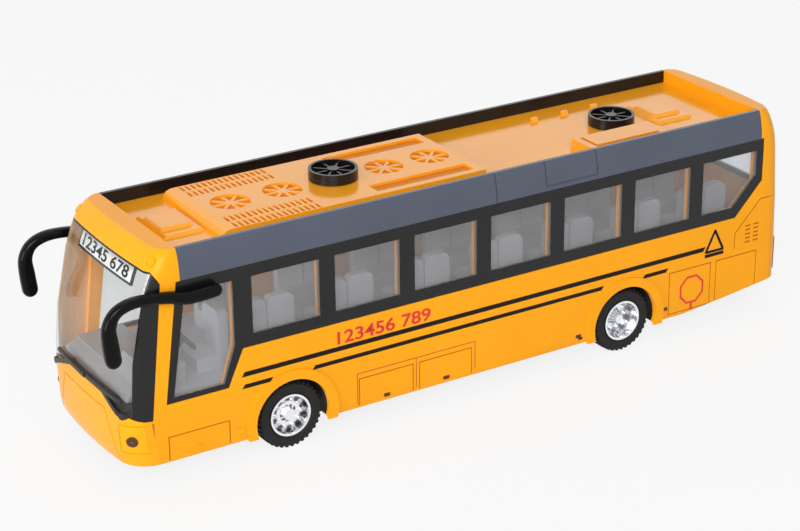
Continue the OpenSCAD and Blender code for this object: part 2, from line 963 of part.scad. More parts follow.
module rim(dish, hub_base_d, hub_top_d, rise) {
    h = tyre_w / 2;
    face = h - dish;
    axle_end = face + rise - bore_cover;
    color("#d9dadc")
        difference() {
            union() {
                rotate_extrude()
                    polygon([
                        [bead_r - rim_wall, -h],
                        [rim_d / 2, -h],
                        [rim_d / 2, -h + rim_lip_t],
                        [bead_r, -h + rim_lip_t],
                        [bead_r, h - rim_lip_t],
                        [rim_d / 2, h - rim_lip_t],
                        [rim_d / 2, h],
                        [rim_d / 2 - rim_wall, h],
                        [bead_r - rim_wall, face]
                    ]);
                translate([0, 0, face - rim_wall])
                    cylinder(r = bead_r - rim_wall / 2, h = rim_wall);
                translate([0, 0, face - rim_wall / 2])
                    cylinder(d1 = hub_base_d, d2 = hub_top_d, h = rise + rim_wall / 2);
                translate([0, 0, -h])
                    cylinder(d = axle_d + 2 * rim_wall, h = h + face);
                for (i = [0 : stud_count - 1])
                    rotate([0, 0, i * 360 / stud_count])
                        translate([bead_r * stud_share, 0, face - rim_wall / 2])
                            cylinder(d = stud_d, h = stud_h + rim_wall / 2);
            }
            translate([0, 0, -tyre_w])
                cylinder(d = axle_d, h = tyre_w + axle_end);
        }
}

module rim_front() {
    rim(front_dish, hub_d, hub_d - 2 * hub_rise, hub_rise);
}

module rim_rear() {
    rim(rear_dish, hub_d, cone_top_d, cone_rise);
}

module tread_ring(z0) {
    r = tyre_d / 2;
    step = 360 / tread_count;
    translate([0, 0, z0])
        linear_extrude(height = tread_w)
            difference() {
                polygon([
                    for (i = [0 : tread_count - 1])
                        for (k = [[0, 0], [0, 1], [1, 1], [1, 0]])
                            let (a = (i + k[0] / 2) * step, d = r - tread_lip - (1 - k[1]) * tread_depth)
                            [d * cos(a), d * sin(a)]
                ]);
                circle(r = r - sidewall);
            }
}

module tyre() {
    h = tyre_w / 2;
    r = tyre_d / 2;
    bead = h - rim_lip_t - seat_gap;
    color("#232325") {
        rotate_extrude()
            polygon([
                [bead_r, -bead],
                [rim_d / 2 + seat_gap, -bead],
                [rim_d / 2 + sidewall / 2, -h],
                [r - sidewall / 2, -h],
                [r - tread_depth, -h + tread_side],
                [r - tread_depth, -h + tread_side + tread_w],
                [r, -h + tread_side + tread_w],
                [r, h - tread_side - tread_w],
                [r - tread_depth, h - tread_side - tread_w],
                [r - tread_depth, h - tread_side],
                [r - sidewall / 2, h],
                [rim_d / 2 + sidewall / 2, h],
                [rim_d / 2 + seat_gap, bead],
                [bead_r, bead]
            ]);
        tread_ring(-h + tread_side + tread_lip);
        tread_ring(h - tread_side - tread_w - tread_lip);
    }
}

// Axle ends lie in the rims' blind bores
module axle(x, dish, rise) {
    end = wheel_y + tyre_w / 2 - dish + rise - bore_cover;
    color("#b8bbc0")
        bar_y(x, 0, axle_z, axle_d, 2 * end);
}

module front_axle() {
    axle(front_axle_x, front_dish, hub_rise);
}

module rear_axle() {
    axle(rear_axle_x, rear_dish, cone_rise);
}

// Friction drive behind the rear axle's gear
pressure_angle = 25;
addendum_share = 0.9;
root_share = 1.25;
backlash = 0.1;
flank_steps = 5;
idler_angle = 60;
flywheel_angle = 5;
shaft_d = 2;
gear_y = 3;
gear_face = 3.5;
wheel_face = 3;
flywheel_y = 6.9;
box_wall = 1.4;
box_gap = 0.5;
box_w = 26;
tab_l = 6;
tab_w = 8;
tab_t = 1.5;
tab_y = 7;
idler_x = rear_axle_x + mesh(axle_teeth) * cos(idler_angle);
idler_z = axle_z + mesh(axle_teeth) * sin(idler_angle);
flywheel_x = idler_x + mesh(idler_teeth) * cos(flywheel_angle);
flywheel_z = idler_z + mesh(idler_teeth) * sin(flywheel_angle);
chassis_top = chassis_h + chassis_t;

function pitch_r(teeth) = gear_module * teeth / 2;
function tip_r(teeth) = pitch_r(teeth) + addendum_share * gear_module;
function root_r(teeth) = pitch_r(teeth) - root_share * gear_module;
function mesh(teeth) = pitch_r(teeth) + pitch_r(pinion_teeth);
function involute(a) = tan(a) * 180 / PI - a;

// Half angle of a tooth at radius r
function half_tooth(teeth, r) =
    let (
        base = pitch_r(teeth) * cos(pressure_angle),
        at = r > base ? acos(base / r) : 0,
        slack = backlash / 2 / pitch_r(teeth) * 180 / PI
    )
    90 / teeth - slack / 2 + involute(pressure_angle) - involute(at);

function gear_outline(teeth) = [
    for (k = [0 : teeth - 1])
        for (side = [-1, 1])
            for (i = [0 : flank_steps])
                let (
                    step = side < 0 ? i : flank_steps - i,
                    r = root_r(teeth) + (tip_r(teeth) - root_r(teeth)) * step / flank_steps,
                    a = k * 360 / teeth + side * half_tooth(teeth, r)
                )
                [r * cos(a), r * sin(a)]
];

// Gear about the y axis at (x, z), from y forward, with a tooth or a space at angle
module gear(teeth, x, y, z, face, angle, bore) {
    translate([x, y + face, z])
        rotate([90, 0, 0])
            linear_extrude(height = face)
                difference() {
                    rotate(angle)
                        polygon(gear_outline(teeth));
                    circle(d = bore);
                }
}

module axle_gear() {
    color("#e9e6dc")
        gear(axle_teeth, rear_axle_x, gear_y, axle_z, gear_face, idler_angle, axle_d);
}

module idler_gear() {
    half_step = 180 / pinion_teeth;
    y0 = -wheel_face / 2;
    color("#e9e6dc") {
        gear(pinion_teeth, idler_x, y0 + wheel_face / 2, idler_z, gear_y + gear_face,
            idler_angle + 180 + half_step, shaft_d);
        gear(idler_teeth, idler_x, y0, idler_z, wheel_face, flywheel_angle, shaft_d);
    }
}

module gearbox_shaft(x, z) {
    color("#b8bbc0")
        bar_y(x, 0, z, shaft_d, box_w - box_wall);
}

module idler_shaft() {
    gearbox_shaft(idler_x, idler_z);
}

module flywheel_shaft() {
    gearbox_shaft(flywheel_x, flywheel_z);
}

module flywheel_pinion() {
    color("#e9e6dc")
        gear(pinion_teeth, flywheel_x, -wheel_face / 2, flywheel_z, wheel_face,
            flywheel_angle + 180 + 180 / pinion_teeth, shaft_d);
}

module flywheel() {
    color("#8b8e93")
        difference() {
            bar_y(flywheel_x, -flywheel_y, flywheel_z, flywheel_d, flywheel_t);
            bar_y(flywheel_x, -flywheel_y, flywheel_z, shaft_d, flywheel_t + 2 * overrun);
        }
}

// Inner limits of the gearbox follow the gears
box_x0 = rear_axle_x - tip_r(axle_teeth) - box_gap;
box_x1 = flywheel_x + flywheel_d / 2 + box_gap;
box_z0 = axle_z - tip_r(axle_teeth) - box_gap;
box_z1 = max(flywheel_z + flywheel_d / 2, idler_z + tip_r(idler_teeth)) + box_gap;

// One half of the gearbox on the +y side, with its two screw tabs
module gearbox_half() {
    y1 = box_w / 2;
    difference() {
        union() {
            box(box_x0 - box_wall, box_x1 + box_wall, seat_gap / 2, y1,
                box_z0 - box_wall, box_z1 + box_wall);
            box(box_x0 - box_wall - tab_l, box_x1 + box_wall + tab_l, tab_y - tab_w / 2, tab_y + tab_w / 2,
                chassis_top, chassis_top + tab_t);
        }
        box(box_x0, box_x1, -overrun, y1 - box_wall, box_z0, box_z1);
        bar_y(rear_axle_x, y1, axle_z, axle_d + 2 * run_gap, 2 * y1);
        bar_y(idler_x, y1, idler_z, shaft_d + 2 * run_gap, 2 * y1);
        bar_y(flywheel_x, y1, flywheel_z, shaft_d + 2 * run_gap, 2 * y1);
        for (x = tab_xs())
            translate([x, tab_y, chassis_h])
                cylinder(d = screw_d + 2 * seat_gap, h = chassis_t + tab_t + overrun);
    }
}

function tab_xs() = [box_x0 - box_wall - tab_l / 2, box_x1 + box_wall + tab_l / 2];

module gearbox_left() {
    color("#d8d4c6")
        gearbox_half();
}

module gearbox_right() {
    color("#d8d4c6")
        mirror([0, 1, 0])
            gearbox_half();
}

// Chassis, electronics and battery bay
chassis_gap = 0.4;
upsweep_share = 0.7486;
upsweep_h = 7.2;
liner_t = 1.5;
liner_wall = 2;
liner_gap = 2.5;
bearing_d = 8;
bearing_l = 5;
boss_d = 7;
boss_in = 4.5;
boss_web = 3;
boss_front = 22.5;
boss_mid_share = 0.47;
boss_rear_share = 0.8;
head_d = 5;
head_h = 1.5;
screw_grip = 10;
pad_l = 34;
pad_w = 40;
pad_t = 0.8;
pad_share = 0.5823;
packing_hole_d = 3.6;
packing_hole_span = 26;
board_l = 40;
circuit_w = 24;
board_post_h = 5;
board_gap = 0.2;
chip_l = 12;
chip_h = 2.4;
speaker_gap = 2.2;
speaker_h = 7;
speaker_ring = 1.5;
speaker_ring_h = 4;
speaker_hole_d = 2.4;
speaker_hole_ring_share = 0.3;
bay_gap = 3;
cell_gap = 0.4;
cell_count = 3;
bay_wall = 1.6;
door_t = 1.5;
contact_t = 0.3;
contact_w = 4;
ear_l = 7;
ear_w = 8;
ear_t = 1.1;
small_screw_d = 2;
small_head_d = 3.8;
small_head_h = 1.1;
small_grip = 5;
liner_y = wheel_y - tyre_w / 2 - liner_gap;
boss_y = inner_y - boss_in;
boss_shares = [boss_mid_share, boss_rear_share];
boss_xs = concat([x_nose - boss_front], [for (share = boss_shares) front_axle_x - wheelbase * share]);
pad_x = front_axle_x + front_overhang * pad_share;
tab_reach = rear_axle_x - box_x0 + box_wall + tab_l;
upsweep_l = (rear_overhang - tab_reach) * upsweep_share;
bay_l = cell_count * cell_d + (cell_count + 1) * cell_gap;
bay_w = cell_d + 2 * cell_gap;
// The battery bay lies ahead of the gearbox, then the loudspeaker, then the circuit board
bay_x = box_x1 + box_wall + tab_l + bay_gap + bay_wall + bay_l / 2;
ring_r = speaker_d / 2 + seat_gap + speaker_ring;
speaker_x = bay_x + bay_l / 2 + ear_l + bay_wall + speaker_gap + ring_r;
board_x = speaker_x + ring_r + board_gap + board_l / 2;
cell_z = chassis_h + door_t + seat_gap;
bay_z = cell_z + cell_h + 2 * seat_gap + contact_t;
ear_x = bay_x + bay_l / 2 + ear_l / 2;
board_z = chassis_top + board_post_h;

module drill(x, y, d) {
    translate([x, y, chassis_h - pad_t - overrun])
        cylinder(d = d, h = floor_h - chassis_h);
}

module axle_pair() {
    for (x = [front_axle_x, rear_axle_x])
        translate([x, 0, 0])
            children();
}

// Arch liner on the +y side of an axle at x = 0
module liner() {
    y1 = inner_y - chassis_gap;
    r1 = arch_r + liner_t;
    intersection() {
        union() {
            difference() {
                bar_y(0, (liner_y - liner_wall + y1) / 2, axle_z, 2 * r1, y1 - liner_y + liner_wall);
                bar_y(0, liner_y + far / 2, axle_z, 2 * arch_r, far);
            }
            bar_y(0, liner_y - liner_wall - bearing_l / 2, axle_z, bearing_d, bearing_l + overrun);
        }
        box(-r1, r1, 0, half_w, chassis_h, roof_h);
    }
}

module chassis_plate() {
    inset = wall + chassis_gap;
    nose = x_nose - inset - nose_lean * profile_shares[0][1];
    side = half_w - inset - cove_lean * profile_shares[0][3];
    translate([0, 0, chassis_h])
        linear_extrude(height = chassis_t)
            polygon(plan(
                nose,
                x_tail + upsweep_l,
                side,
                corner_r * profile_shares[0][4] - inset,
                corner_r - inset
            ));
}

// Plate under the rising tail
module tail_plate() {
    x1 = x_tail + upsweep_l + 2 * wall;
    intersection() {
        envelope(wall + chassis_gap);
        side_plate(half_w, body_w)
            polygon([
                [x1, chassis_h],
                [x_tail, chassis_h + upsweep_h],
                [x_tail, chassis_top + upsweep_h],
                [x1, chassis_top]
            ]);
    }
}

module chassis() {
    color("#2a2a2c")
        difference() {
            union() {
                difference() {
                    union() {
                        chassis_plate();
                        tail_plate();
                        box(pad_x - pad_l / 2, pad_x + pad_l / 2, -pad_w / 2, pad_w / 2,
                            chassis_h - pad_t, chassis_top);
                    }
                    axle_pair()
                        both_sides()
                            box(-arch_r, arch_r, liner_y, half_w,
                                chassis_h - overrun, chassis_top + upsweep_h + overrun);
                }
                axle_pair()
                    both_sides()
                        liner();
                translate([speaker_x, 0, chassis_h])
                    cylinder(r = ring_r, h = chassis_t + speaker_ring_h);
                box(bay_x - bay_l / 2 - bay_wall, bay_x + bay_l / 2 + ear_l + bay_wall,
                    -bay_w / 2 - bay_wall, bay_w / 2 + bay_wall, chassis_h, bay_z + bay_wall);
                for (x = [-1, 1] * (board_l - post_d) / 2)
                    for (y = [-1, 1] * (circuit_w - post_d) / 2)
                        translate([board_x + x, y, chassis_h])
                            cylinder(d = post_d, h = chassis_t + board_post_h);
            }
            axle_pair()
                bar_y(0, 0, axle_z, axle_d + 2 * run_gap, body_w);
            translate([speaker_x, 0, chassis_top])
                cylinder(d = speaker_d + 2 * seat_gap, h = speaker_h);
            for (i = [0 : spokes - 1])
                speaker_hole(i)
                    cylinder(d = speaker_hole_d, h = chassis_t + 2 * overrun);
            box(box_x0 - box_wall - move_gap, box_x1 + box_wall + move_gap, -box_w / 2 - move_gap,
                box_w / 2 + move_gap, chassis_h - overrun, chassis_top + overrun);
            box(bay_x - bay_l / 2, bay_x + bay_l / 2, -bay_w / 2, bay_w / 2, chassis_h - overrun, bay_z);
            box(ear_x - ear_l / 2 - overrun, ear_x + ear_l / 2 + seat_gap, -ear_w / 2 - seat_gap,
                ear_w / 2 + seat_gap, chassis_h - overrun, chassis_h + ear_t + seat_gap);
            drill(ear_x, 0, small_screw_d);
            for (x = tab_xs())
                for (s = [-1, 1])
                    drill(x, s * tab_y, screw_d);
            for (x = boss_xs)
                for (s = [-1, 1])
                    drill(x, s * boss_y, screw_d + 2 * move_gap);
            for (s = [-1, 1])
                drill(pad_x, s * packing_hole_span / 2, packing_hole_d);
        }
}

module speaker_hole(i) {
    translate([speaker_x, 0, chassis_h - overrun])
        rotate([0, 0, i * 360 / spokes])
            translate([speaker_d * speaker_hole_ring_share, 0, 0])
                children();
}

module speaker() {
    color("#3a3a3c")
        translate([speaker_x, 0, chassis_top]) {
            cylinder(d = speaker_d, h = speaker_h / 2);
            cylinder(d = speaker_d / 2, h = speaker_h);
        }
}

module circuit_board() {
    color("#2f6b3a") {
        box(board_x - board_l / 2, board_x + board_l / 2, -circuit_w / 2, circuit_w / 2,
            board_z, board_z + board_t);
        box(board_x - chip_l / 2, board_x + chip_l / 2, -chip_l / 2, chip_l / 2,
            board_z + board_t / 2, board_z + board_t + chip_h);
    }
}

module battery_cells() {
    color("#c3c6ca")
        for (i = [0 : cell_count - 1])
            translate([bay_x + (i - (cell_count - 1) / 2) * (cell_d + cell_gap), 0, cell_z])
                cylinder(d = cell_d, h = cell_h);
}

module battery_contacts() {
    z0 = cell_z + cell_h + seat_gap;
    l = bay_l / 2 - cell_gap;
    color("#c9b46a")
        for (span = [[-l, -cell_gap], [cell_gap, l]])
            box(bay_x + span[0], bay_x + span[1], -contact_w / 2, contact_w / 2, z0, z0 + contact_t);
}

module battery_door() {
    l = bay_l / 2 - seat_gap;
    w = bay_w / 2 - seat_gap;
    color("#2a2a2c")
        difference() {
            union() {
                box(bay_x - l, bay_x + l, -w, w, chassis_h, chassis_h + door_t);
                box(bay_x + l - ear_l, ear_x + ear_l / 2, -ear_w / 2, ear_w / 2,
                    chassis_h, chassis_h + ear_t);
            }
            drill(ear_x, 0, small_screw_d + 2 * seat_gap);
        }
}

// Screw from below: head under z, shank up into the boss
module screw(x, y, z, d, cap_d, cap_h, grip) {
    translate([x, y, z - cap_h])
        cylinder(d = cap_d, h = cap_h);
    translate([x, y, z - cap_h / 2])
        cylinder(d = d, h = grip + cap_h / 2);
}

module battery_door_screw() {
    color("#b8bbc0")
        screw(ear_x, 0, chassis_h, small_screw_d, small_head_d, small_head_h, small_grip);
}

module body_screws() {
    color("#b8bbc0")
        for (x = boss_xs)
            for (s = [-1, 1])
                screw(x, s * boss_y, chassis_h, screw_d, head_d, head_h, screw_grip);
}

// Screws from above through the gearbox tabs
module gearbox_screws() {
    color("#b8bbc0")
        for (x = tab_xs())
            for (s = [-1, 1])
                translate([x, s * tab_y, chassis_h]) {
                    cylinder(d = screw_d, h = chassis_t + tab_t + head_h / 2);
                    translate([0, 0, chassis_t + tab_t])
                        cylinder(d = head_d, h = head_h);
                }
}

// Interior
tray_floor_t = 1.5;
tray_front = 17;
tray_rear = 23;
tray_in = 4;
seat_space = 0.7;
seat_back_t = 4.5;
seat_back_in = 18;
cushion_d = 11;
cushion_h = 9;
seat_round = 3.4;
round_steps = 5;
driver_seat_setback = 53.5;
driver_y = 16;
driver_w = 15;
driver_cushion_h = 6;
dash_front = 11.5;
dash_rear = 33.5;
dash_h = 11;
dash_lip = 5;
dash_w = 62;
column_d = 2.6;
column_l = 9;
column_tilt = 52;
wheel_ring_d = 14;
wheel_ring_t = 1.8;
column_rise = 8.5;
floor_z = floor_h + tray_floor_t;
column_x = x_nose - dash_rear;
column_z = floor_z + column_rise;

// Seat back outline with round upper corners, centred on zero
function back_outline(w, h) = concat(
    [[w / 2, 0]],
    [for (i = [0 : round_steps])
        let (a = 90 * i / round_steps)
        [w / 2 - seat_round + seat_round * cos(a), h - seat_round + seat_round * sin(a)]],
    [for (i = [0 : round_steps])
        let (a = 90 + 90 * i / round_steps)
        [-w / 2 + seat_round + seat_round * cos(a), h - seat_round + seat_round * sin(a)]],
    [[-w / 2, 0]]
);

// Two side-facing seats at a window, on the +y side
module seat_pair(x) {
    y1 = half_w - seat_back_in;
    l = seat_w + seat_space / 2;
    for (s = [-1, 1])
        translate([x + s * (seat_w + seat_space) / 2, 0, floor_z - tray_floor_t / 2])
            side_plate(y1, seat_back_t)
                polygon(back_outline(seat_w, seat_h));
    box(x - l, x + l, y1 - seat_back_t - cushion_d, y1 - seat_back_t / 2,
        floor_z - tray_floor_t / 2, floor_z + cushion_h);
}

module driver_seat() {
    x = x_nose - driver_seat_setback;
    translate([0, driver_y, floor_z - tray_floor_t / 2])
        cross_plate(x - seat_back_t, seat_back_t)
            polygon(back_outline(driver_w, seat_h));
    box(x - seat_back_t / 2, x + cushion_d, driver_y - driver_w / 2, driver_y + driver_w / 2,
        floor_z - tray_floor_t / 2, floor_z + driver_cushion_h);
}

module seat_tray() {
    side = half_w - wall - tray_in;
    color("#8f949c") {
        box(x_tail + tray_rear, x_nose - tray_front, -side, side, floor_h, floor_z);
        both_sides()
            for (i = [0 : window_count - 1])
                seat_pair(pane_x(i) - pane_w / 2);
        driver_seat();
    }
}

module steering_column(d) {
    translate([column_x, driver_y, column_z])
        rotate([0, -column_tilt, 0])
            translate([0, 0, -column_l])
                cylinder(d = d, h = 2 * column_l);
}

module dashboard() {
    x1 = x_nose - dash_front;
    x0 = x_nose - dash_rear;
    color("#9a9da3")
        difference() {
            side_plate(dash_w / 2, dash_w)
                polygon([
                    [x1, floor_z + seat_gap],
                    [x1, floor_z + dash_h - dash_lip],
                    [x1 - dash_lip, floor_z + dash_h],
                    [x0, floor_z + dash_h],
                    [x0, floor_z + seat_gap]
                ]);
            steering_column(column_d);
        }
}

module steering_wheel() {
    color("#232325") {
        steering_column(column_d);
        translate([column_x, driver_y, column_z])
            rotate([0, -column_tilt, 0])
                translate([0, 0, column_l]) {
                    rotate_extrude()
                        translate([(wheel_ring_d - wheel_ring_t) / 2, 0])
                            circle(d = wheel_ring_t);
                    for (a = [0, 90])
                        rotate([0, 0, a])
                            translate([0, 0, -wheel_ring_t / 4])
                                cube([wheel_ring_d - wheel_ring_t, wheel_ring_t, wheel_ring_t / 2],
                                    center = true);
                }
    }
}

// Headlight lamps in the bumper
led_d = 3;
led_in = 4.5;
led_z = 23;
led_l = 7;
led_depth = 5.5;
led_boss_d = 6.4;
led_boss_l = 9;
led_y = half_w - led_in;
led_x = x_nose - led_depth - led_l;

module bar_x(x, y, z, d, l) {
    translate([x, y, z])
        rotate([0, 90, 0])
            cylinder(d = d, h = l);
}

module headlight_leds() {
    color("#e8eef2")
        both_sides() {
            bar_x(led_x, led_y, led_z, led_d, led_l - led_d / 2);
            translate([led_x + led_l - led_d / 2, led_y, led_z])
                sphere(d = led_d);
        }
}

// Lines and recesses moulded into the shell
front_panel_start = 19.8;
front_panel_gap = 7.7;
front_panel_h = 12;
door_start = 33;
door_l = 28.3;
door_gap = 2.8;
door_h = 14.3;
rear_door_start = 25.6;
rear_door_share = 0.366;
rear_door_h = 23.7;
rear_door_rise = 1.7;
handle_l = 2.8;
handle_h = 1.5;
handle_rise = 2;
handle_d = 0.7;
grille_slots = 5;
louver_l = 3.4;
louver_h = 0.9;
louver_pitch = 2.1;
louver_end = 15.3;
louver_gap = 1.6;
louver_drop = 14.6;
bumper_panel_h = 23;
bumper_top_w = 41;
bumper_low_w = 62;
quarter_l = 30.4;
quarter_drop = 16.6;
quarter_h = 23.5;
quarter_rise = 15;
lamp_panel_w = 9;
lamp_panel_rise = 6.5;
lamp_panel_h = 13.5;
flare_proud = 0.8;
flare_drop = 0.8;
front_panel_l = front_overhang - front_panel_start - arch_r - flare_w - front_panel_gap;
rear_door_l = (rear_overhang - rear_door_start) * rear_door_share;
louver_z = sill_h - louver_drop;
quarter_z = sill_h - quarter_drop;

module panel_line(x0, x1, z0, z1) {
    y0 = half_w - groove_d;
    y1 = half_w + overrun;
    difference() {
        box(x0, x1, y0, y1, z0, z1);
        box(x0 + groove_w, x1 - groove_w, y0 - overrun, y1 + overrun, z0 + groove_w, z1 - groove_w);
    }
}

module handle(x) {
    z0 = ride_h + handle_rise;
    box(x - handle_l / 2, x + handle_l / 2, half_w - handle_d, half_w + overrun, z0, z0 + handle_h);
}

module side_lines() {
    low = ride_h - overrun;
    front_x = x_nose - front_panel_start;
    panel_line(front_x - front_panel_l, front_x, low, ride_h + front_panel_h);
    for (i = [0, 1]) {
        x1 = front_axle_x - door_start - i * (door_l + door_gap);
        panel_line(x1 - door_l, x1, low, ride_h + door_h);
        handle(x1 - door_l / 2);
        rear_x = rear_axle_x - rear_door_start - i * (rear_door_l + door_gap);
        panel_line(rear_x - rear_door_l, rear_x, ride_h + rear_door_rise, ride_h + rear_door_h);
    }
    handle(rear_axle_x + rear_door_start);
    for (k = [0, 1])
        for (i = [0 : grille_slots - 1]) {
            x0 = x_tail + louver_end + k * (louver_l + louver_gap);
            z0 = louver_z + i * louver_pitch;
            box(x0, x0 + louver_l, half_w - groove_d, half_w + overrun, z0, z0 + louver_h);
        }
}

// Quarter panel: its edge rises from the rear doors to the tail
module quarter_outline(shrink) {
    x1 = x_tail + quarter_l - shrink;
    x0 = x_tail - overrun;
    top = quarter_z + quarter_h - shrink;
    polygon([
        [x1, quarter_z],
        [x1, top - quarter_rise],
        [x1 - quarter_rise, top],
        [x0, top],
        [x0, quarter_z]
    ]);
}

module quarter_line() {
    side_plate(half_w + overrun, corner_r + overrun)
        difference() {
            quarter_outline(0);
            quarter_outline(groove_w);
        }
}

module bumper_outline(shrink) {
    z1 = ride_h + bumper_panel_h - shrink;
    polygon([
        [-bumper_low_w / 2 + shrink, ride_h - overrun],
        [-bumper_top_w / 2 + shrink, z1],
        [bumper_top_w / 2 - shrink, z1],
        [bumper_low_w / 2 - shrink, ride_h - overrun]
    ]);
}

module lamp_outline(shrink) {
    translate([led_y - lamp_panel_w / 2 + shrink, ride_h + lamp_panel_rise + shrink])
        square([lamp_panel_w - 2 * shrink, lamp_panel_h - 2 * shrink]);
}

// Lines that follow the rounded ends
module end_lines() {
    difference() {
        union() {
            both_sides()
                quarter_line();
            cross_plate(x_nose - 2 * corner_r, 2 * corner_r + overrun) {
                difference() {
                    bumper_outline(0);
                    bumper_outline(groove_w);
                }
                for (s = [0, 1])
                    mirror([s, 0])
                        difference() {
                            lamp_outline(0);
                            lamp_outline(groove_w);
                        }
            }
        }
        envelope(groove_d);
    }
}

module window_backing() {
    difference() {
        side_plate(inner_y + wall / 2, inner_y + wall / 2 - backing_y)
            band_outline(backing_rim);
        side_plate(half_w + overrun, half_w + overrun - pocket_y)
            band_outline(0);
        side_plate(half_w, wall + half_w - backing_y)
            panes_outline(0, opening_drop);
    }
}

module flare(x) {
    intersection() {
        difference() {
            bar_y(x, half_w, axle_z, 2 * (arch_r + flare_w), 2 * flare_proud);
            bar_y(x, half_w, axle_z, 2 * arch_r, body_w);
        }
        box(x - far, x + far, 0, far, ride_h - flare_drop, sill_h - seat_gap);
    }
}

module screw_boss(x) {
    difference() {
        union() {
            translate([x, boss_y, chassis_top + seat_gap])
                cylinder(d = boss_d, h = floor_h - chassis_top - 2 * seat_gap);
            box(x - boss_web / 2, x + boss_web / 2, boss_y + screw_d, inner_y + wall / 2,
                chassis_top + seat_gap, floor_h - seat_gap);
        }
        drill(x, boss_y, screw_d);
    }
}

// Rising lower edge of the tail
module upsweep_cut() {
    side_plate(half_w + overrun, body_w + 2 * overrun)
        polygon([
            [x_tail + upsweep_l, ride_h - overrun],
            [x_tail + upsweep_l, ride_h],
            [x_tail - overrun, ride_h + upsweep_h],
            [x_tail - overrun, ride_h - overrun]
        ]);
}

module body_shell() {
    color("#f6ab1e") {
        difference() {
            union() {
                difference() {
                    skin(0, wall);
                    roof_opening();
                }
                tray_ends();
                both_sides()
                    intersection() {
                        bar_x(led_x, led_y, led_z, led_boss_d, led_boss_l);
                        envelope(wall / 2);
                    }
            }
            both_sides() {
                side_plate(half_w + overrun, wall + 2 * overrun)
                    band_outline(0);
                axle_pair()
                    bar_y(0, half_w, axle_z, 2 * arch_r, 2 * wall + 2 * overrun);
                side_lines();
                light_zone(seat_gap);
                bar_x(led_x - overrun, led_y, led_z, led_d + 2 * run_gap, far);
            }
            screen_zone(0);
            rear_zone(0);
            upsweep_cut();
            end_lines();
        }
        both_sides() {
            window_backing();
            for (x = boss_xs)
                screw_boss(x);
            for (x = [front_axle_x, rear_axle_x])
                flare(x);
        }
    }
}

// Left and right pieces
module roof_cove_left() {
    roof_cove();
}

module roof_cove_right() {
    mirror([0, 1, 0])
        roof_cove();
}

module window_frame_left() {
    window_frame();
}

module window_frame_right() {
    mirror([0, 1, 0])
        window_frame();
}

module window_panes_left() {
    window_panes();
}

module window_panes_right() {
    mirror([0, 1, 0])
        window_panes();
}

module tail_light_left() {
    tail_light();
}

module tail_light_right() {
    mirror([0, 1, 0])
        tail_light();
}

module mirror_left() {
    mirror_piece();
}

module mirror_right() {
    mirror([0, 1, 0])
        mirror_piece();
}

module wiper_left() {
    wiper(left_blade_y, left_arm);
}

module wiper_right() {
    wiper(right_blade_y, right_arm);
}

module rim_front_left() {
    at_wheel(front_axle_x, 1)
        rim_front();
}

module rim_front_right() {
    at_wheel(front_axle_x, -1)
        rim_front();
}

module rim_rear_left() {
    at_wheel(rear_axle_x, 1)
        rim_rear();
}

module rim_rear_right() {
    at_wheel(rear_axle_x, -1)
        rim_rear();
}

module tyre_front_left() {
    at_wheel(front_axle_x, 1)
        tyre();
}

module tyre_front_right() {
    at_wheel(front_axle_x, -1)
        tyre();
}

module tyre_rear_left() {
    at_wheel(rear_axle_x, 1)
        tyre();
}

module tyre_rear_right() {
    at_wheel(rear_axle_x, -1)
        tyre();
}

body_shell();
roof_panel();
roof_cove_left();
roof_cove_right();
windshield();
windshield_frame();
sign_board();
window_frame_left();
window_frame_right();
window_panes_left();
window_panes_right();
rear_window();
rear_window_frame();
tail_light_left();
tail_light_right();
mirror_left();
mirror_right();
wiper_left();
wiper_right();
roof_fan_front();
roof_fan_rear();
sound_button();
button_board();
seat_tray();
dashboard();
steering_wheel();
chassis();
front_axle();
rear_axle();
rim_front_left();
rim_front_right();
rim_rear_left();
rim_rear_right();
tyre_front_left();
tyre_front_right();
tyre_rear_left();
tyre_rear_right();
gearbox_left();
gearbox_right();
axle_gear();
idler_gear();
idler_shaft();
flywheel();
flywheel_pinion();
flywheel_shaft();
circuit_board();
speaker();
battery_cells();
battery_contacts();
battery_door();
battery_door_screw();
body_screws();
gearbox_screws();
headlight_leds();
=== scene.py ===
# %% [markdown]
# # A toy coach, from CAD frame to studio picture
# The CAD frame gives every piece its place. This lesson gives the pieces their looks: soft moulded
# edges, printed stripes and signs, plastic, chrome, rubber and glass, then a plain pale studio.

# %% Load the frame
import math

import bmesh
import bpy
from mathutils import Matrix, Vector


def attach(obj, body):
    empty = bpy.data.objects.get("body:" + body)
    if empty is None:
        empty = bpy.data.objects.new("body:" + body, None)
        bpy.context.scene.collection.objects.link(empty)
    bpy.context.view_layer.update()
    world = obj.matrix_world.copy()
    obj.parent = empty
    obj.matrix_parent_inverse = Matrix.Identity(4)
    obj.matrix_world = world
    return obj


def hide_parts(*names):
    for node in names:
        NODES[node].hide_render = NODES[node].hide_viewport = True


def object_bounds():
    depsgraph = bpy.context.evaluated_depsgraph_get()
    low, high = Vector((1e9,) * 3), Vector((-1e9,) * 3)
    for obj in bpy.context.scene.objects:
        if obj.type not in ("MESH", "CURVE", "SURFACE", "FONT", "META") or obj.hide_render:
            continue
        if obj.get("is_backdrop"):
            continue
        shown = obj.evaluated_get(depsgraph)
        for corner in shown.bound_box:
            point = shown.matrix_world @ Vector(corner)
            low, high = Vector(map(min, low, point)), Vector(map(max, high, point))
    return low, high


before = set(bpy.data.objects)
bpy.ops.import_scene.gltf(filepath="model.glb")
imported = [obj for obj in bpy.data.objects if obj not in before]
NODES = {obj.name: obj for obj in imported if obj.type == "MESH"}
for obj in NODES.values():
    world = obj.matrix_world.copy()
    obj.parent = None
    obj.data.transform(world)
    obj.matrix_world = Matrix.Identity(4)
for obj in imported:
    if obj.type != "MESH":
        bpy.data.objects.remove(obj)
first_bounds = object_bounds()
MM = 0.001
print("CAD nodes:", len(NODES), "bounds:", first_bounds)

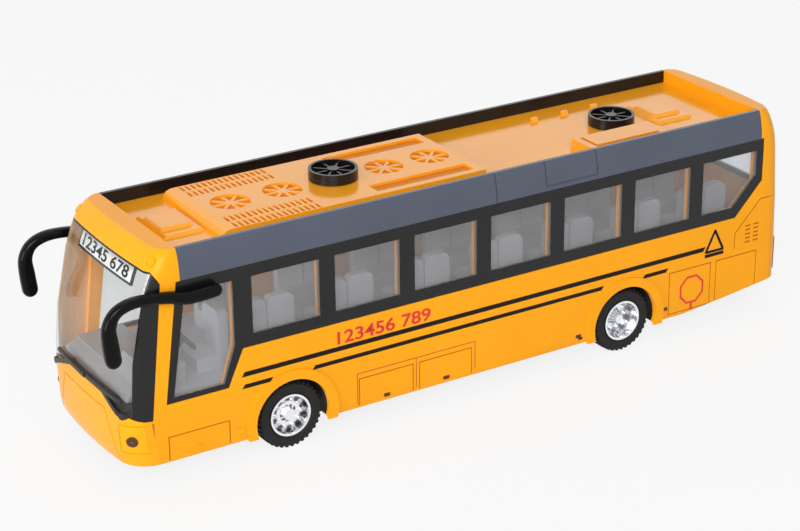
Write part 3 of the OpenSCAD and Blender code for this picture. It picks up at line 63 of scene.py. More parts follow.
# %% [markdown]
# ## Small tools
# Blender's operators act on all that is selected, and the loaded nodes all are. So every edit starts
# from a clean selection. `select_only` makes one object active. `pick_faces` and `pick_verts` stay in
# edit mode, with those faces or corners selected that pass a test.

# %% Selection tools
def leave_edit():
    bpy.ops.object.mode_set(mode="OBJECT")


def select_only(obj):
    if bpy.context.object and bpy.context.object.mode != "OBJECT":
        leave_edit()
    bpy.ops.object.select_all(action="DESELECT")
    obj.select_set(True)
    bpy.context.view_layer.objects.active = obj


def pick(obj, kind, test):
    select_only(obj)
    bpy.ops.object.mode_set(mode="EDIT")
    bpy.ops.mesh.select_mode(type=kind)
    bpy.ops.mesh.select_all(action="DESELECT")
    mesh = bmesh.from_edit_mesh(obj.data)
    for part in mesh.faces if kind == "FACE" else mesh.verts:
        part.select = test(part)
    mesh.select_flush_mode()
    bmesh.update_edit_mesh(obj.data)


def pick_faces(obj, test):
    pick(obj, "FACE", test)


def pick_verts(obj, test):
    pick(obj, "VERT", test)


print("selection tools ready")

# %% [markdown]
# A finished piece sits at the origin, unturned and unscaled, as the CAD nodes do. `freeze` moves an
# object's place into its mesh, and `box_mm` measures that mesh in millimetres. Moulded plastic has no
# knife edges, so `round_edges` adds a bevel that only takes the edges sharper than an angle, which
# leaves the curved walls alone.

# %% Finishing tools
def freeze(obj):
    select_only(obj)
    bpy.ops.object.transform_apply(location=True, rotation=True, scale=True)
    return obj


def smooth(obj, degrees):
    select_only(obj)
    bpy.ops.object.shade_smooth_by_angle(angle=math.radians(degrees))


def apply_all(obj):
    select_only(obj)
    for modifier in list(obj.modifiers):
        bpy.ops.object.modifier_apply(modifier=modifier.name)


def join_as(name, pieces):
    select_only(pieces[0])
    for piece in pieces:
        piece.select_set(True)
    if len(pieces) > 1:
        bpy.ops.object.join()
    pieces[0].name = name
    return freeze(pieces[0])


def box_mm(obj):
    corners = [vert.co / MM for vert in obj.data.vertices]
    low = Vector([min(corner[axis] for corner in corners) for axis in range(3)])
    high = Vector([max(corner[axis] for corner in corners) for axis in range(3)])
    return low, high


def round_edges(obj, name, width, segments, degrees):
    bevel = obj.modifiers.new(name, "BEVEL")
    bevel.width = width * MM
    bevel.segments = segments
    bevel.limit_method = "ANGLE"
    bevel.angle_limit = math.radians(degrees)


roof_low, roof_high = box_mm(NODES["roof_panel"])
print("roof panel from", roof_low, "to", roof_high)

# %% [markdown]
# ## Materials
# Moulded plastic is never quite even. One flat colour would look like a drawing, and a picture of
# plastic would not fit every piece. So each finish is worked out from noise: a faint colour drift, a
# roughness that wanders and a very fine bump. Object coordinates keep the pattern fixed to the piece.

# %% A finish from noise
DRIFT_SCALE = 28.0
GRAIN_SCALE = 1680.0
GRAIN_DEPTH = 0.4


def noise(tree, place, scale, detail):
    grain = tree.nodes.new("ShaderNodeTexNoise")
    grain.inputs["Scale"].default_value = scale
    grain.inputs["Detail"].default_value = detail
    tree.links.new(place.outputs["Object"], grain.inputs["Vector"])
    return grain


def finish(name, colour, rough, drift=0.04, bump=0.03, metal=0.0, specular=0.5):
    mat = bpy.data.materials.new(name)
    mat.use_nodes = True
    tree = mat.node_tree
    shader = tree.nodes["Principled BSDF"]
    place = tree.nodes.new("ShaderNodeTexCoord")
    broad = noise(tree, place, DRIFT_SCALE, 3.0)
    fine = noise(tree, place, GRAIN_SCALE, 4.0)
    ramp = tree.nodes.new("ShaderNodeValToRGB")
    for stop, position, share in zip(ramp.color_ramp.elements, (0.3, 0.7), (1.0 - drift, 1.0 + drift)):
        stop.position = position
        stop.color = (*[min(1.0, part * share) for part in colour], 1.0)
    span = tree.nodes.new("ShaderNodeMapRange")
    span.inputs["To Min"].default_value = max(0.02, rough - 0.05)
    span.inputs["To Max"].default_value = min(1.0, rough + 0.06)
    relief = tree.nodes.new("ShaderNodeBump")
    relief.inputs["Strength"].default_value = bump
    relief.inputs["Distance"].default_value = GRAIN_DEPTH * MM
    tree.links.new(broad.outputs["Fac"], ramp.inputs["Fac"])
    tree.links.new(ramp.outputs["Color"], shader.inputs["Base Color"])
    tree.links.new(fine.outputs["Fac"], span.inputs["Value"])
    tree.links.new(span.outputs["Result"], shader.inputs["Roughness"])
    tree.links.new(fine.outputs["Fac"], relief.inputs["Height"])
    tree.links.new(relief.outputs["Normal"], shader.inputs["Normal"])
    shader.inputs["Metallic"].default_value = metal
    shader.inputs["Specular IOR Level"].default_value = specular
    return mat


def linear(*srgb):
    return [(c / 255.0 / 12.92) if c <= 10.3 else ((c / 255.0 + 0.055) / 1.055) ** 2.4 for c in srgb]


print("grain scales:", DRIFT_SCALE, GRAIN_SCALE)

# %% [markdown]
# ## Glazing
# The panes are thin clear plastic. Real refraction would need both faces of a thin sheet to be traced
# and turns dark in a small box, so the light goes straight through instead. A film of mirror grows
# towards the edge-on view, as it does on any clear sheet, and a little haze stands for fine scratches.

# %% Clear glazing with a thin mirror film
EDGE_POWER = 5.0
EDGE_MIRROR = 0.9
MIRROR_ROUGH = 0.05


def calc(tree, operation, source, number=0.0):
    step = tree.nodes.new("ShaderNodeMath")
    step.operation = operation
    step.inputs[1].default_value = number
    tree.links.new(source, step.inputs[0])
    return step


def glazing(name, tint, film, veil):
    mat = finish(name, tint, 0.1, drift=0.03, bump=0.004)
    tree = mat.node_tree
    haze = tree.nodes["Principled BSDF"]
    tint_colour = haze.inputs["Base Color"].links[0].from_socket
    through = tree.nodes.new("ShaderNodeBsdfTransparent")
    tree.links.new(tint_colour, through.inputs["Color"])
    mirror = tree.nodes.new("ShaderNodeBsdfGlossy")
    mirror.inputs["Roughness"].default_value = MIRROR_ROUGH
    facing = tree.nodes.new("ShaderNodeLayerWeight")
    facing.inputs["Blend"].default_value = 0.5
    steep = calc(tree, "POWER", facing.outputs["Facing"], EDGE_POWER)
    edge = calc(tree, "MULTIPLY_ADD", steep.outputs["Value"], EDGE_MIRROR)
    edge.inputs[2].default_value = film
    clear = tree.nodes.new("ShaderNodeMixShader")
    clear.inputs["Fac"].default_value = veil
    tree.links.new(through.outputs["BSDF"], clear.inputs[1])
    tree.links.new(haze.outputs["BSDF"], clear.inputs[2])
    whole = tree.nodes.new("ShaderNodeMixShader")
    tree.links.new(edge.outputs["Value"], whole.inputs["Fac"])
    tree.links.new(clear.outputs["Shader"], whole.inputs[1])
    tree.links.new(mirror.outputs["BSDF"], whole.inputs[2])
    tree.links.new(whole.outputs["Shader"], tree.nodes["Material Output"].inputs["Surface"])
    return mat


GLASS = glazing("window_glass", linear(244, 245, 246), 0.03, 0.08)
SCREEN = glazing("screen_glass", linear(249, 250, 250), 0.02, 0.015)
print("glazing:", GLASS.name, SCREEN.name)

# %% [markdown]
# ## The coach's finishes
# Colours are written as they look on a screen and turned into linear light. The body is plain yellow
# plastic with little shine, the roof is the same plastic polished, and the inner pieces have the
# steel, brass, acetal and board green that such pieces are made of.

# %% Painted and moulded outside
YELLOW = finish("body_yellow", linear(250, 166, 22), 0.22, drift=0.03, bump=0.01, specular=0.13)
ROOF = finish("roof_yellow", linear(248, 164, 24), 0.13, drift=0.03, bump=0.01)
# Painted shade: the groove finish is a darker amber for the shade in moulded grooves, door lines and the
# button's gap.
GROOVE_SHADE = finish("groove_painted_shade", linear(176, 98, 14), 0.45, drift=0.06, bump=0.02)
# Painted shade: the recess finish is a dark brown for the shade in deep recesses, finger pulls and lamp
# holes.
SHADE = finish("recess_painted_shade", linear(66, 38, 14), 0.6, drift=0.1, bump=0.02)
SLATE = finish("cove_slate", linear(76, 82, 97), 0.18, drift=0.06, bump=0.01, specular=0.4)
BLACK = finish("trim_black", linear(20, 19, 19), 0.24, drift=0.15, bump=0.015, specular=0.34)
GLOSS = finish("mirror_black", linear(10, 9, 9), 0.16, drift=0.15, bump=0.01, specular=0.12)
# Painted light: a pale beige that paints the yellow plastic inside the cab as brightly lit.
LIT_INSIDE = finish("inside_painted_light", linear(214, 166, 112), 0.4, drift=0.05, bump=0.02)
# Painted shade: the vent finish is a darker amber for the shade on the floors of vents and slots.
VENT_SHADE = finish("vent_painted_shade", linear(214, 124, 16), 0.4, drift=0.05, bump=0.02, specular=0.2)
BLADE = finish("wiper_black", linear(18, 17, 18), 0.4, drift=0.15, bump=0.04)
RUBBER = finish("tyre_rubber", linear(24, 24, 23), 0.7, drift=0.18, bump=0.2, specular=0.3)
LENS = finish("lens_red", linear(138, 16, 18), 0.14, drift=0.1, bump=0.02)
# Painted shade: the headlight LEDs are a dark brown for the shade of the deep holes they sit in.
LED_IN_SHADE = finish("lamp_clear", linear(62, 40, 26), 0.1, drift=0.08, bump=0.02)
CARD = finish("sign_card", linear(244, 244, 241), 0.5, drift=0.02, bump=0.02)
INK = finish("ink_black", linear(19, 16, 14), 0.5, drift=0.15, bump=0.02, specular=0.15)
RED = finish("ink_red", linear(212, 38, 30), 0.38, drift=0.08, bump=0.02)
print("materials in the file:", len(bpy.data.materials))

# %% Cabin, chassis and works
STEEL = finish("screw_steel", linear(178, 180, 184), 0.3, drift=0.08, bump=0.05, metal=1.0)
IRON = finish("flywheel_iron", linear(120, 122, 126), 0.42, drift=0.12, bump=0.1, metal=1.0)
BRASS = finish("contact_brass", linear(201, 176, 98), 0.32, drift=0.1, bump=0.05, metal=1.0)
ACETAL = finish("gear_acetal", linear(232, 228, 216), 0.4, drift=0.04, bump=0.03)
SEAT = finish("seat_grey", linear(184, 190, 200), 0.4, drift=0.05, bump=0.03)
DASH = finish("dash_grey", linear(164, 162, 164), 0.45, drift=0.05, bump=0.04)
CHASSIS = finish("chassis_black", linear(30, 30, 31), 0.5, drift=0.12, bump=0.06)
CONE = finish("speaker_cone", linear(58, 56, 55), 0.8, drift=0.15, bump=0.2)
BOARD = finish("board_green", linear(44, 104, 58), 0.4, drift=0.12, bump=0.06)
print("materials in the file:", len(bpy.data.materials))

# %% [markdown]
# ## Chrome rims
# Between its studs and its lip each rim has a ring of slots, dark with the shade inside them. They are
# too small to cut into four meshes for what they show, so the chrome's colour paints them as shade:
# distance from the axle gives the ring, and the angle about the axle, times the number of slots, gives
# the slots. The ring is also darkened as a painted reflection of dark surroundings, more on the front
# rims than on the rear. The rim's own box tells where its axle is and how large it is.

# %% Chrome with a ring of slots
SLOTS = 10
RING_STOPS = {0.56: 0.0, 0.63: 1.0, 0.87: 1.0, 0.91: 0.0}
SLOT_EDGES = (0.5, -0.3)
BRIDGE_SHADE = 0.3


def vector_step(tree, operation, source, numbers=None):
    step = tree.nodes.new("ShaderNodeVectorMath")
    step.operation = operation
    if numbers:
        step.inputs[1].default_value = numbers
    tree.links.new(source, step.inputs[0])
    return step


def slot_ring(tree, radius):
    ring = tree.nodes.new("ShaderNodeValToRGB")
    stops = ring.color_ramp.elements
    first, *inner, last = RING_STOPS
    stops[0].position = first
    stops[1].position = last
    for position in inner:
        stops.new(position)
    for stop, level in zip(stops, RING_STOPS.values()):
        stop.color = (level, level, level, 1.0)
    tree.links.new(radius.outputs["Value"], ring.inputs["Fac"])
    return ring


def slot_wave(tree, flat):
    axes = tree.nodes.new("ShaderNodeSeparateXYZ")
    tree.links.new(flat.outputs["Vector"], axes.inputs["Vector"])
    angle = calc(tree, "ARCTAN2", axes.outputs["Z"])
    tree.links.new(axes.outputs["X"], angle.inputs[1])
    turns = calc(tree, "MULTIPLY", angle.outputs["Value"], SLOTS)
    wave = calc(tree, "COSINE", turns.outputs["Value"])
    slot = tree.nodes.new("ShaderNodeMapRange")
    slot.inputs["From Min"].default_value = SLOT_EDGES[0]
    slot.inputs["From Max"].default_value = SLOT_EDGES[1]
    slot.inputs["To Min"].default_value = BRIDGE_SHADE
    tree.links.new(wave.outputs["Value"], slot.inputs["Value"])
    return slot


def rim_finish(name, rim, slot_shade_colour):
    low, high = box_mm(NODES[rim])
    axle = (low + high) / 2 * MM
    shrink = 1.0 / ((high.z - low.z) / 2 * MM)
    mat = finish(name, linear(240, 243, 247), 0.13, drift=0.04, bump=0.01, metal=1.0)
    tree = mat.node_tree
    base = tree.nodes["Principled BSDF"].inputs["Base Color"]
    chrome = base.links[0].from_socket
    place = tree.nodes.new("ShaderNodeTexCoord")
    centre = vector_step(tree, "SUBTRACT", place.outputs["Object"], (axle.x, 0.0, axle.z))
    flat = vector_step(tree, "MULTIPLY", centre.outputs["Vector"], (shrink, 0.0, shrink))
    radius = vector_step(tree, "LENGTH", flat.outputs["Vector"])
    shade = calc(tree, "MULTIPLY", slot_ring(tree, radius).outputs["Color"])
    tree.links.new(slot_wave(tree, flat).outputs["Result"], shade.inputs[1])
    mix = tree.nodes.new("ShaderNodeMixRGB")
    mix.inputs["Color2"].default_value = (*slot_shade_colour, 1.0)
    tree.links.new(shade.outputs["Value"], mix.inputs["Fac"])
    tree.links.new(chrome, mix.inputs["Color1"])
    tree.links.new(mix.outputs["Color"], base)
    return mat


# Painted shade and reflection: the front rims' slots and ring are drawn darker than the rear ones'.
RIM_FRONT = rim_finish("rim_chrome_front", "rim_front_left", linear(98, 94, 96))
RIM_REAR = rim_finish("rim_chrome_rear", "rim_rear_left", linear(172, 170, 172))
print("rims:", SLOTS, "slots each")

# %% [markdown]
# ## Dressing the CAD nodes
# Each node takes the finish of what it is made of. The table gives the start of a node's name, and the
# longest start that fits wins, so left and right pieces need one line. A live bevel then rounds the
# small mouldings on the roof without touching their CAD meshes.

# %% One finish per node
LOOKS = {
    "body_shell": YELLOW, "roof_panel": ROOF, "sound_button": ROOF, "roof_cove": SLATE,
    "windshield_frame": BLACK, "windshield": SCREEN, "window_frame": BLACK, "window_panes": GLASS,
    "rear_window_frame": BLACK, "rear_window": GLASS, "sign_board": CARD, "tail_light": LENS,
    "mirror": BLACK, "wiper": BLADE, "roof_fan": BLACK, "button_board": BOARD, "circuit_board": BOARD,
    "seat_tray": SEAT, "dashboard": DASH, "steering_wheel": BLACK, "chassis": CHASSIS,
    "battery_door_screw": STEEL, "battery_door": CHASSIS, "speaker": CONE, "front_axle": STEEL,
    "rear_axle": STEEL, "idler_shaft": STEEL, "flywheel_shaft": STEEL, "flywheel_pinion": ACETAL,
    "flywheel": IRON, "body_screws": STEEL, "gearbox_screws": STEEL, "battery_cells": STEEL,
    "axle_gear": ACETAL, "idler_gear": ACETAL, "gearbox": ACETAL, "battery_contacts": BRASS,
    "headlight_leds": LED_IN_SHADE, "rim_front": RIM_FRONT, "rim_rear": RIM_REAR, "tyre": RUBBER,
}
for name, node in NODES.items():
    key = max((start for start in LOOKS if name.startswith(start)), key=len)
    node.data.materials.clear()
    node.data.materials.append(LOOKS[key])
print("dressed:", len(NODES))

# %% Live bevels on the fans and the button
SMALL_EDGE = 0.4
for name in ("roof_fan_front", "roof_fan_rear", "sound_button"):
    round_edges(NODES[name], "soft_edges", SMALL_EDGE, 2, 35)
print("soft edges:", SMALL_EDGE, "mm")

# %% [markdown]
# ## Moulded shells
# The body, the roof and the coves are single mouldings with rounded ends. Their CAD meshes are loose
# triangles and would shade as facets. Modelling them again by hand would lose their exact shape, so a
# copy of each is merged, its flat strips are dissolved, and it is shaded smooth up to an angle.

# %% Reworked copies of the big mouldings
MERGE = 0.004
FLAT_DEGREES = 0.3


def moulded(node, name, mat, degrees):
    copy = bpy.data.objects.new(name, NODES[node].data.copy())
    bpy.context.scene.collection.objects.link(copy)
    pick_faces(copy, lambda face: True)
    bpy.ops.mesh.remove_doubles(threshold=MERGE * MM)
    bpy.ops.mesh.dissolve_limited(angle_limit=math.radians(FLAT_DEGREES))
    bpy.ops.mesh.normals_make_consistent(inside=False)
    leave_edit()
    if copy.data.has_custom_normals:
        bpy.ops.mesh.customdata_custom_splitnormals_clear()
    smooth(copy, degrees)
    copy.data.materials.clear()
    copy.data.materials.append(mat)
    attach(copy, "coach")
    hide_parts(node)
    print(name, len(copy.data.polygons), "faces")
    return copy


shell = moulded("body_shell", "coach_shell", YELLOW, 22)
cove_left = moulded("roof_cove_left", "coach_cove_left", SLATE, 22)
cove_right = moulded("roof_cove_right", "coach_cove_right", SLATE, 22)
roof = moulded("roof_panel", "coach_roof", ROOF, 28)
screen_frame = moulded("windshield_frame", "coach_screen_frame", BLACK, 30)
moulded("windshield", "coach_screen", SCREEN, 30)

# %% [markdown]
# The roof is full of small raised plates, slots and vents. On the real moulding their edges catch the
# light. Rounding each plate by itself would take long, so one narrow bevel is applied to the whole
# copy, and the shading stays crisp beside it.

# %% Soft edges on the roof moulding
ROOF_EDGE = 0.5
round_edges(roof, "roof_edges", ROOF_EDGE, 2, 40)
apply_all(roof)
smooth(roof, 32)
print("roof edges:", len(roof.data.polygons), "faces")

# %% [markdown]
# ## Painted light and shade on the mouldings
# Painted shade turns the coves black where they face the roof tray, painted light makes the cab a pale
# beige inside, and painted shade darkens the floors of vents and moulded lines. Painting masks would
# need texture coordinates. These areas are whole faces, so a test on a face's place and direction picks
# them and gives them a second material. Depths in the side are counted from its flat part, which lies a
# wheel flare's depth inside the shell's box.

# %% Colour faces by their place
def tint_faces(obj, mat, test):
    obj.data.materials.append(mat)
    pick_faces(obj, test)
    obj.active_material_index = len(obj.data.materials) - 1
    bpy.ops.object.material_slot_assign()
    picked = sum(1 for face in bmesh.from_edit_mesh(obj.data).faces if face.select)
    leave_edit()
    print(obj.name, mat.name, picked, "faces")


# Painted shade: the coves' faces towards the roof tray are coloured black, and on the far (right) cove
# the black also reaches over its top edge.
RAIL_Y = 35.2
LEFT_REACH, RIGHT_REACH = 0.05, 1.9
for cove, reach in ((cove_left, LEFT_REACH), (cove_right, RIGHT_REACH)):
    tint_faces(cove, BLACK, lambda face: abs(face.calc_center_median().y) < (RAIL_Y + reach) * MM)

# %% Painted light: pale beige inside the cab
CAB_REAR_X, CAB_LOW_Z, CAB_TOP_Z = 118.0, 45.0, 97.0
SIDEWAYS = 0.3
BACKWARD = -0.3
SIDE_WEIGHT = 0.6


def inward(face):
    return -face.normal.y * math.copysign(1.0, face.calc_center_median().y)


def cab_painted_light(face):
    middle = face.calc_center_median() / MM
    return inward(face) > SIDEWAYS and middle.x > CAB_REAR_X and CAB_LOW_Z < middle.z < CAB_TOP_Z


def frame_back(face):
    return face.normal.x - SIDE_WEIGHT * inward(face) < BACKWARD


# Painted light: the frame's back and the cab's inner sides take the pale lit beige.
tint_faces(screen_frame, LIT_INSIDE, frame_back)
tint_faces(shell, LIT_INSIDE, cab_painted_light)

# %% Shaded floors of vents, grooves and recesses
FLARE = 0.8
HALF_W = box_mm(NODES["body_shell"])[1].y - FLARE
VENT_DEPTH, GROOVE_DEPTH, RECESS_DEPTH = 2.0, 0.4, 0.7
REACH = 0.1
LEVEL, SQUARE_ON = 0.99, 0.995


def vent_floor(face):
    depth = roof_high.z - face.calc_center_median().z / MM
    return face.normal.z > LEVEL and abs(depth - VENT_DEPTH) < REACH


def sunk_side(wanted):
    def test(face):
        depth = HALF_W - abs(face.calc_center_median().y) / MM
        return abs(face.normal.y) > SQUARE_ON and abs(depth - wanted) < REACH
    return test


# Painted shade: vent floors, groove floors and recess floors take darker finishes for the shade in them.
tint_faces(roof, VENT_SHADE, vent_floor)
tint_faces(shell, GROOVE_SHADE, sunk_side(GROOVE_DEPTH))
tint_faces(shell, SHADE, sunk_side(RECESS_DEPTH))

# %% [markdown]
# ## Dashboard
# The dashboard is low, and only a binnacle before the driver rises to its full height. A copy of the
# CAD block keeps its outline and loses its top beside the driver to a cutter block. That is quicker
# and cleaner than moving corners, because the block has no edge where the step has to be.

# %% Low dashboard
DASH_DROP, BINNACLE_Y, OVERRUN = 6.5, 7.0, 5.0
dash_low, dash_high = box_mm(NODES["dashboard"])
low_dash_z = dash_high.z - DASH_DROP


def block(low, high):
    middle = [(a + b) / 2 * MM for a, b in zip(low, high)]
    bpy.ops.mesh.primitive_cube_add(size=1.0, location=middle)
    made = bpy.context.object
    made.scale = [(b - a) * MM for a, b in zip(low, high)]
    return freeze(made)


dash = moulded("dashboard", "coach_dash", DASH, 35)
cutter = block((dash_low.x - OVERRUN, dash_low.y - OVERRUN, low_dash_z),
               (dash_high.x + OVERRUN, BINNACLE_Y, dash_high.z + OVERRUN))
cut = dash.modifiers.new("dash_cut", "BOOLEAN")
cut.operation = "DIFFERENCE"
cut.solver = "EXACT"
cut.object = cutter
apply_all(dash)
select_only(cutter)
bpy.ops.object.delete()
smooth(dash, 35)
print("dashboard:", len(dash.data.polygons), "faces")

# %% [markdown]
# An apron carries the dashboard on towards the windshield. Only its top shows through the glass, so a
# block is enough: its front upper edge is pulled down, and a round bevel softens all its edges.

# %% Sloped apron
APRON_LAP, APRON_L, APRON_T = 1.9, 7.6, 6.0
APRON_FALL = 3.0
APRON_ROUND = 1.2
apron_rear_x = dash_high.x - APRON_LAP
apron_low = Vector((apron_rear_x, dash_low.y, low_dash_z - APRON_T))
apron_high = Vector((apron_rear_x + APRON_L, dash_high.y, low_dash_z))
apron_middle = (apron_low + apron_high) / 2 * MM


def apron_front_edge(vert):
    return vert.co.x > apron_middle.x and vert.co.z > apron_middle.z


apron = block(apron_low, apron_high)
apron.name = "dash_apron"
pick_verts(apron, apron_front_edge)
bpy.ops.transform.translate(value=(0.0, 0.0, -APRON_FALL * MM))
leave_edit()
round_edges(apron, "apron_edges", APRON_ROUND, 3, 30)
apply_all(apron)
smooth(apron, 35)
apron.data.materials.append(DASH)
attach(apron, "coach")
print("apron:", len(apron.data.polygons), "faces")

# %% [markdown]
# ## Mirrors with round arms
# The mirrors hang on long hooked arms with a round section. The CAD piece is a flat bent bar with the
# same outline. A tube along a curve would need every bend again, while a wide bevel of several steps
# turns the bar's square section round and keeps its bends.

# %% Round mirror arms
ARM_ROUND = 1.9


def mirror_arm(side):
    arm = moulded("mirror_" + side, "round_mirror_" + side, GLOSS, 40)
    round_edges(arm, "round_arm", ARM_ROUND, 4, 50)
    apply_all(arm)
    smooth(arm, 50)
    return arm


for side in ("left", "right"):
    print("arm:", len(mirror_arm(side).data.polygons), "faces")

# %% [markdown]
# ## Printed stripes
# Two black stripes run along each side under the windows, broken at the wheel arches. A print could be
# painted into the shell's material, but a thin plate keeps its edge sharp from close by. Each stripe is
# a block that lies on the shell, and its lower corners are moved along to slant its ends. Places along
# the sides are measured from the middle of the roof panel.

# %% Side stripes
SIDES = ((1, "left"), (-1, "right"))
MIDDLE_X = (roof_low.x + roof_high.x) / 2
LIFT = 0.02
PRINT_T = 0.06
SLANT = 1.4
UPPER_STRIPE, LOWER_STRIPE = (40.9, 43.1), (35.4, 37.3)
UPPER_RUNS = ((126.0, -122.0),)
LOWER_RUNS = ((126.0, 112.5), (92.0, -62.0), (-86.0, -99.8))


def side_bar(x_front, x_rear, z_low, z_high, side, slant=0.0, thick=PRINT_T):
    y_inner, y_outer = sorted((side * (HALF_W + LIFT), side * (HALF_W + LIFT + thick)))
    bar = block((x_rear + MIDDLE_X, y_inner, z_low), (x_front + MIDDLE_X, y_outer, z_high))
    if slant:
        pick_verts(bar, lambda vert: vert.co.z < (z_low + z_high) / 2 * MM)
        bpy.ops.transform.translate(value=(slant * MM, 0.0, 0.0))
        leave_edit()
    return bar


def printed(name, pieces, mat):
    whole = join_as(name, pieces)
    whole.data.materials.clear()
    whole.data.materials.append(mat)
    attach(whole, "coach")
    print(name, len(whole.data.polygons), "faces")


for side, word in SIDES:
    bars = [side_bar(*run, *heights, side, SLANT)
            for heights, runs in ((UPPER_STRIPE, UPPER_RUNS), (LOWER_STRIPE, LOWER_RUNS)) for run in runs]
    printed("stripes_" + word, bars, INK)

# %% [markdown]
# ## Small marks on the sides
# The locker doors stand in a thin groove line and finger pulls sit along the sill; both are painted
# shade, dark plates for the shade in the groove and the pulls. Two low bosses lie before the front wheel.
# All are blocks on the shell, like the stripes, with other thicknesses: they are so shallow that cutting
# or raising the shell itself would not look different.

# %% Door frames, handles and bosses
DOOR_FRONT, DOOR_MIDDLE, DOOR_REAR = 71.4, 41.1, 9.5
DOOR_TOP, DOOR_FOOT, DOOR_REAR_FOOT = 27.3, 13.0, 14.0
LINE = 0.4
HANDLE_SPOTS = ((56.3, 13.6), (25.0, 13.7), (-47.9, 15.2), (-98.6, 16.4))
HANDLE_X, HANDLE_Z, HANDLE_T = 1.4, 0.75, 0.3
BOSSES = ((131.6, 127.2, 15.0, 17.6), (149.6, 147.0, 13.9, 15.3))
BOSS_T = 0.5
# Painted shade: thin dark plates for the door grooves and the finger pulls.
for side, word in SIDES:
    groove_shade_lines = [
        side_bar(DOOR_FRONT, DOOR_REAR, DOOR_TOP, DOOR_TOP + LINE, side),
        side_bar(DOOR_FRONT, DOOR_FRONT - LINE, DOOR_FOOT, DOOR_TOP, side),
        side_bar(DOOR_REAR + LINE, DOOR_REAR, DOOR_REAR_FOOT, DOOR_TOP, side),
        side_bar(DOOR_MIDDLE, DOOR_MIDDLE - LINE, DOOR_FOOT, DOOR_TOP, side)]
    printed("door_groove_shade_" + word, groove_shade_lines, GROOVE_SHADE)
    pull_shades = [side_bar(x + HANDLE_X, x - HANDLE_X, z - HANDLE_Z, z + HANDLE_Z, side, thick=HANDLE_T)
               for x, z in HANDLE_SPOTS]
    printed("door_pull_shade_" + word, pull_shades, SHADE)
    bosses = [side_bar(*boss, side, thick=BOSS_T) for boss in BOSSES]
    printed("side_bosses_" + word, bosses, YELLOW)

# %% [markdown]
# ## Brow markers and lamp rings
# A round marker is moulded into each corner of the brow, and each headlight sits deep in a hole. Both
# lie on a curved corner, so each is turned to the direction in which the shell faces there. The marker
# is a thin torus, half sunk. The ring is painted shade for the hole: a dark disc that loses its middle
# and is raised a little.

# %% Round marker on each corner of the brow
MARKER_R, MARKER_WIRE = 1.9, 0.32
MARKER_PLACE = Vector((154.2, 35.15, 100.57))
MARKER_FACING = Vector((0.717, 0.297, 0.631))


def to_side(vector, side):
    return Vector((vector.x, side * vector.y, vector.z))


def facing_turn(facing):
    return facing.to_track_quat("Z", "Y").to_euler()


def brow_marker(side):
    bpy.ops.mesh.primitive_torus_add(
        major_segments=40, minor_segments=10, major_radius=MARKER_R * MM, minor_radius=MARKER_WIRE * MM,
        location=to_side(MARKER_PLACE, side) * MM, rotation=facing_turn(to_side(MARKER_FACING, side)))
    ring = bpy.context.object
    smooth(ring, 60)
    return freeze(ring)


printed("brow_markers", [brow_marker(1), brow_marker(-1)], YELLOW)

# %% Painted shade ring at each lamp hole
LAMP_R, LAMP_RING_W, LAMP_GAP, LAMP_RING_T = 2.5, 1.8, 0.12, 0.1
LAMP_PLACE = Vector((167.75, 36.45, 23.2))
LAMP_FACING = Vector((0.608, 0.792, -0.051))


def raise_outline(obj, width, rise):
    pick_faces(obj, lambda face: True)
    bpy.ops.mesh.inset(thickness=width * MM, depth=0.0)
    bpy.ops.mesh.delete(type="FACE")
    bpy.ops.mesh.select_all(action="SELECT")
    bpy.ops.mesh.extrude_region_move(TRANSFORM_OT_translate={"value": rise})
    bpy.ops.mesh.select_all(action="SELECT")
    bpy.ops.mesh.normals_make_consistent(inside=False)
    leave_edit()
    return obj


def lamp_ring(side):
    facing = to_side(LAMP_FACING, side)
    place = to_side(LAMP_PLACE, side) + facing * LAMP_GAP
    bpy.ops.mesh.primitive_circle_add(
        vertices=32, radius=LAMP_R * MM, fill_type="NGON", location=place * MM,
        rotation=facing_turn(facing))
    disc = freeze(bpy.context.object)
    return raise_outline(disc, LAMP_RING_W, facing * LAMP_RING_T * MM)


printed("lamp_hole_shade", [lamp_ring(1), lamp_ring(-1)], SHADE)

# %% [markdown]
# ## Seam around the button
# The push button fills an opening in the raised block on the roof, and the gap around it shows as a
# dark line of shade. A flat plate a little smaller than the button's box paints that shade as a line,
# made with the same outline tool, level with the top of the roof panel.

# %% Painted shade in the button's seam
SEAM_INSIDE, SEAM_LINE = 0.5, 0.6
button_low, button_high = box_mm(NODES["sound_button"])
button_middle = (button_low + button_high) / 2
seam_size = (button_high - button_low) - Vector((2.0, 2.0, 0.0)) * SEAM_INSIDE
seam_place = Vector((button_middle.x, button_middle.y, roof_high.z + LIFT))
bpy.ops.mesh.primitive_plane_add(size=1.0, location=seam_place * MM)
seam = bpy.context.object
seam.scale = (seam_size.x * MM, seam_size.y * MM, 1.0)
freeze(seam)
raise_outline(seam, SEAM_LINE, (0.0, 0.0, PRINT_T * MM))
printed("button_seam_shade", [seam], GROOVE_SHADE)

# %% [markdown]
# ## Printed signs
# A red octagon on a short post and a black triangle over a bar are plain outlines on the rear quarter.
# Each starts as a flat disc with few corners. It is squeezed, its corners are rounded where needed,
# and the outline tool makes it a thin print.

# %% An octagon and a triangle on each side
def sign_outline(corners, radius, width, x, z, side, turn, squeeze=1.0, round_mm=0.0):
    place = Vector((x + MIDDLE_X, side * (HALF_W + LIFT), z)) * MM
    bpy.ops.mesh.primitive_circle_add(
        vertices=corners, radius=radius * MM, fill_type="NGON", location=place,
        rotation=(-side * math.pi / 2, turn, 0.0))
    sign = freeze(bpy.context.object)
    pick_faces(sign, lambda face: True)
    bpy.ops.transform.resize(value=(squeeze, 1.0, 1.0), center_override=(place.x, 0.0, place.z))
    if round_mm:
        bpy.ops.mesh.bevel(offset=round_mm * MM, segments=4, affect="VERTICES")
    return raise_outline(sign, width, (0.0, side * PRINT_T * MM, 0.0))


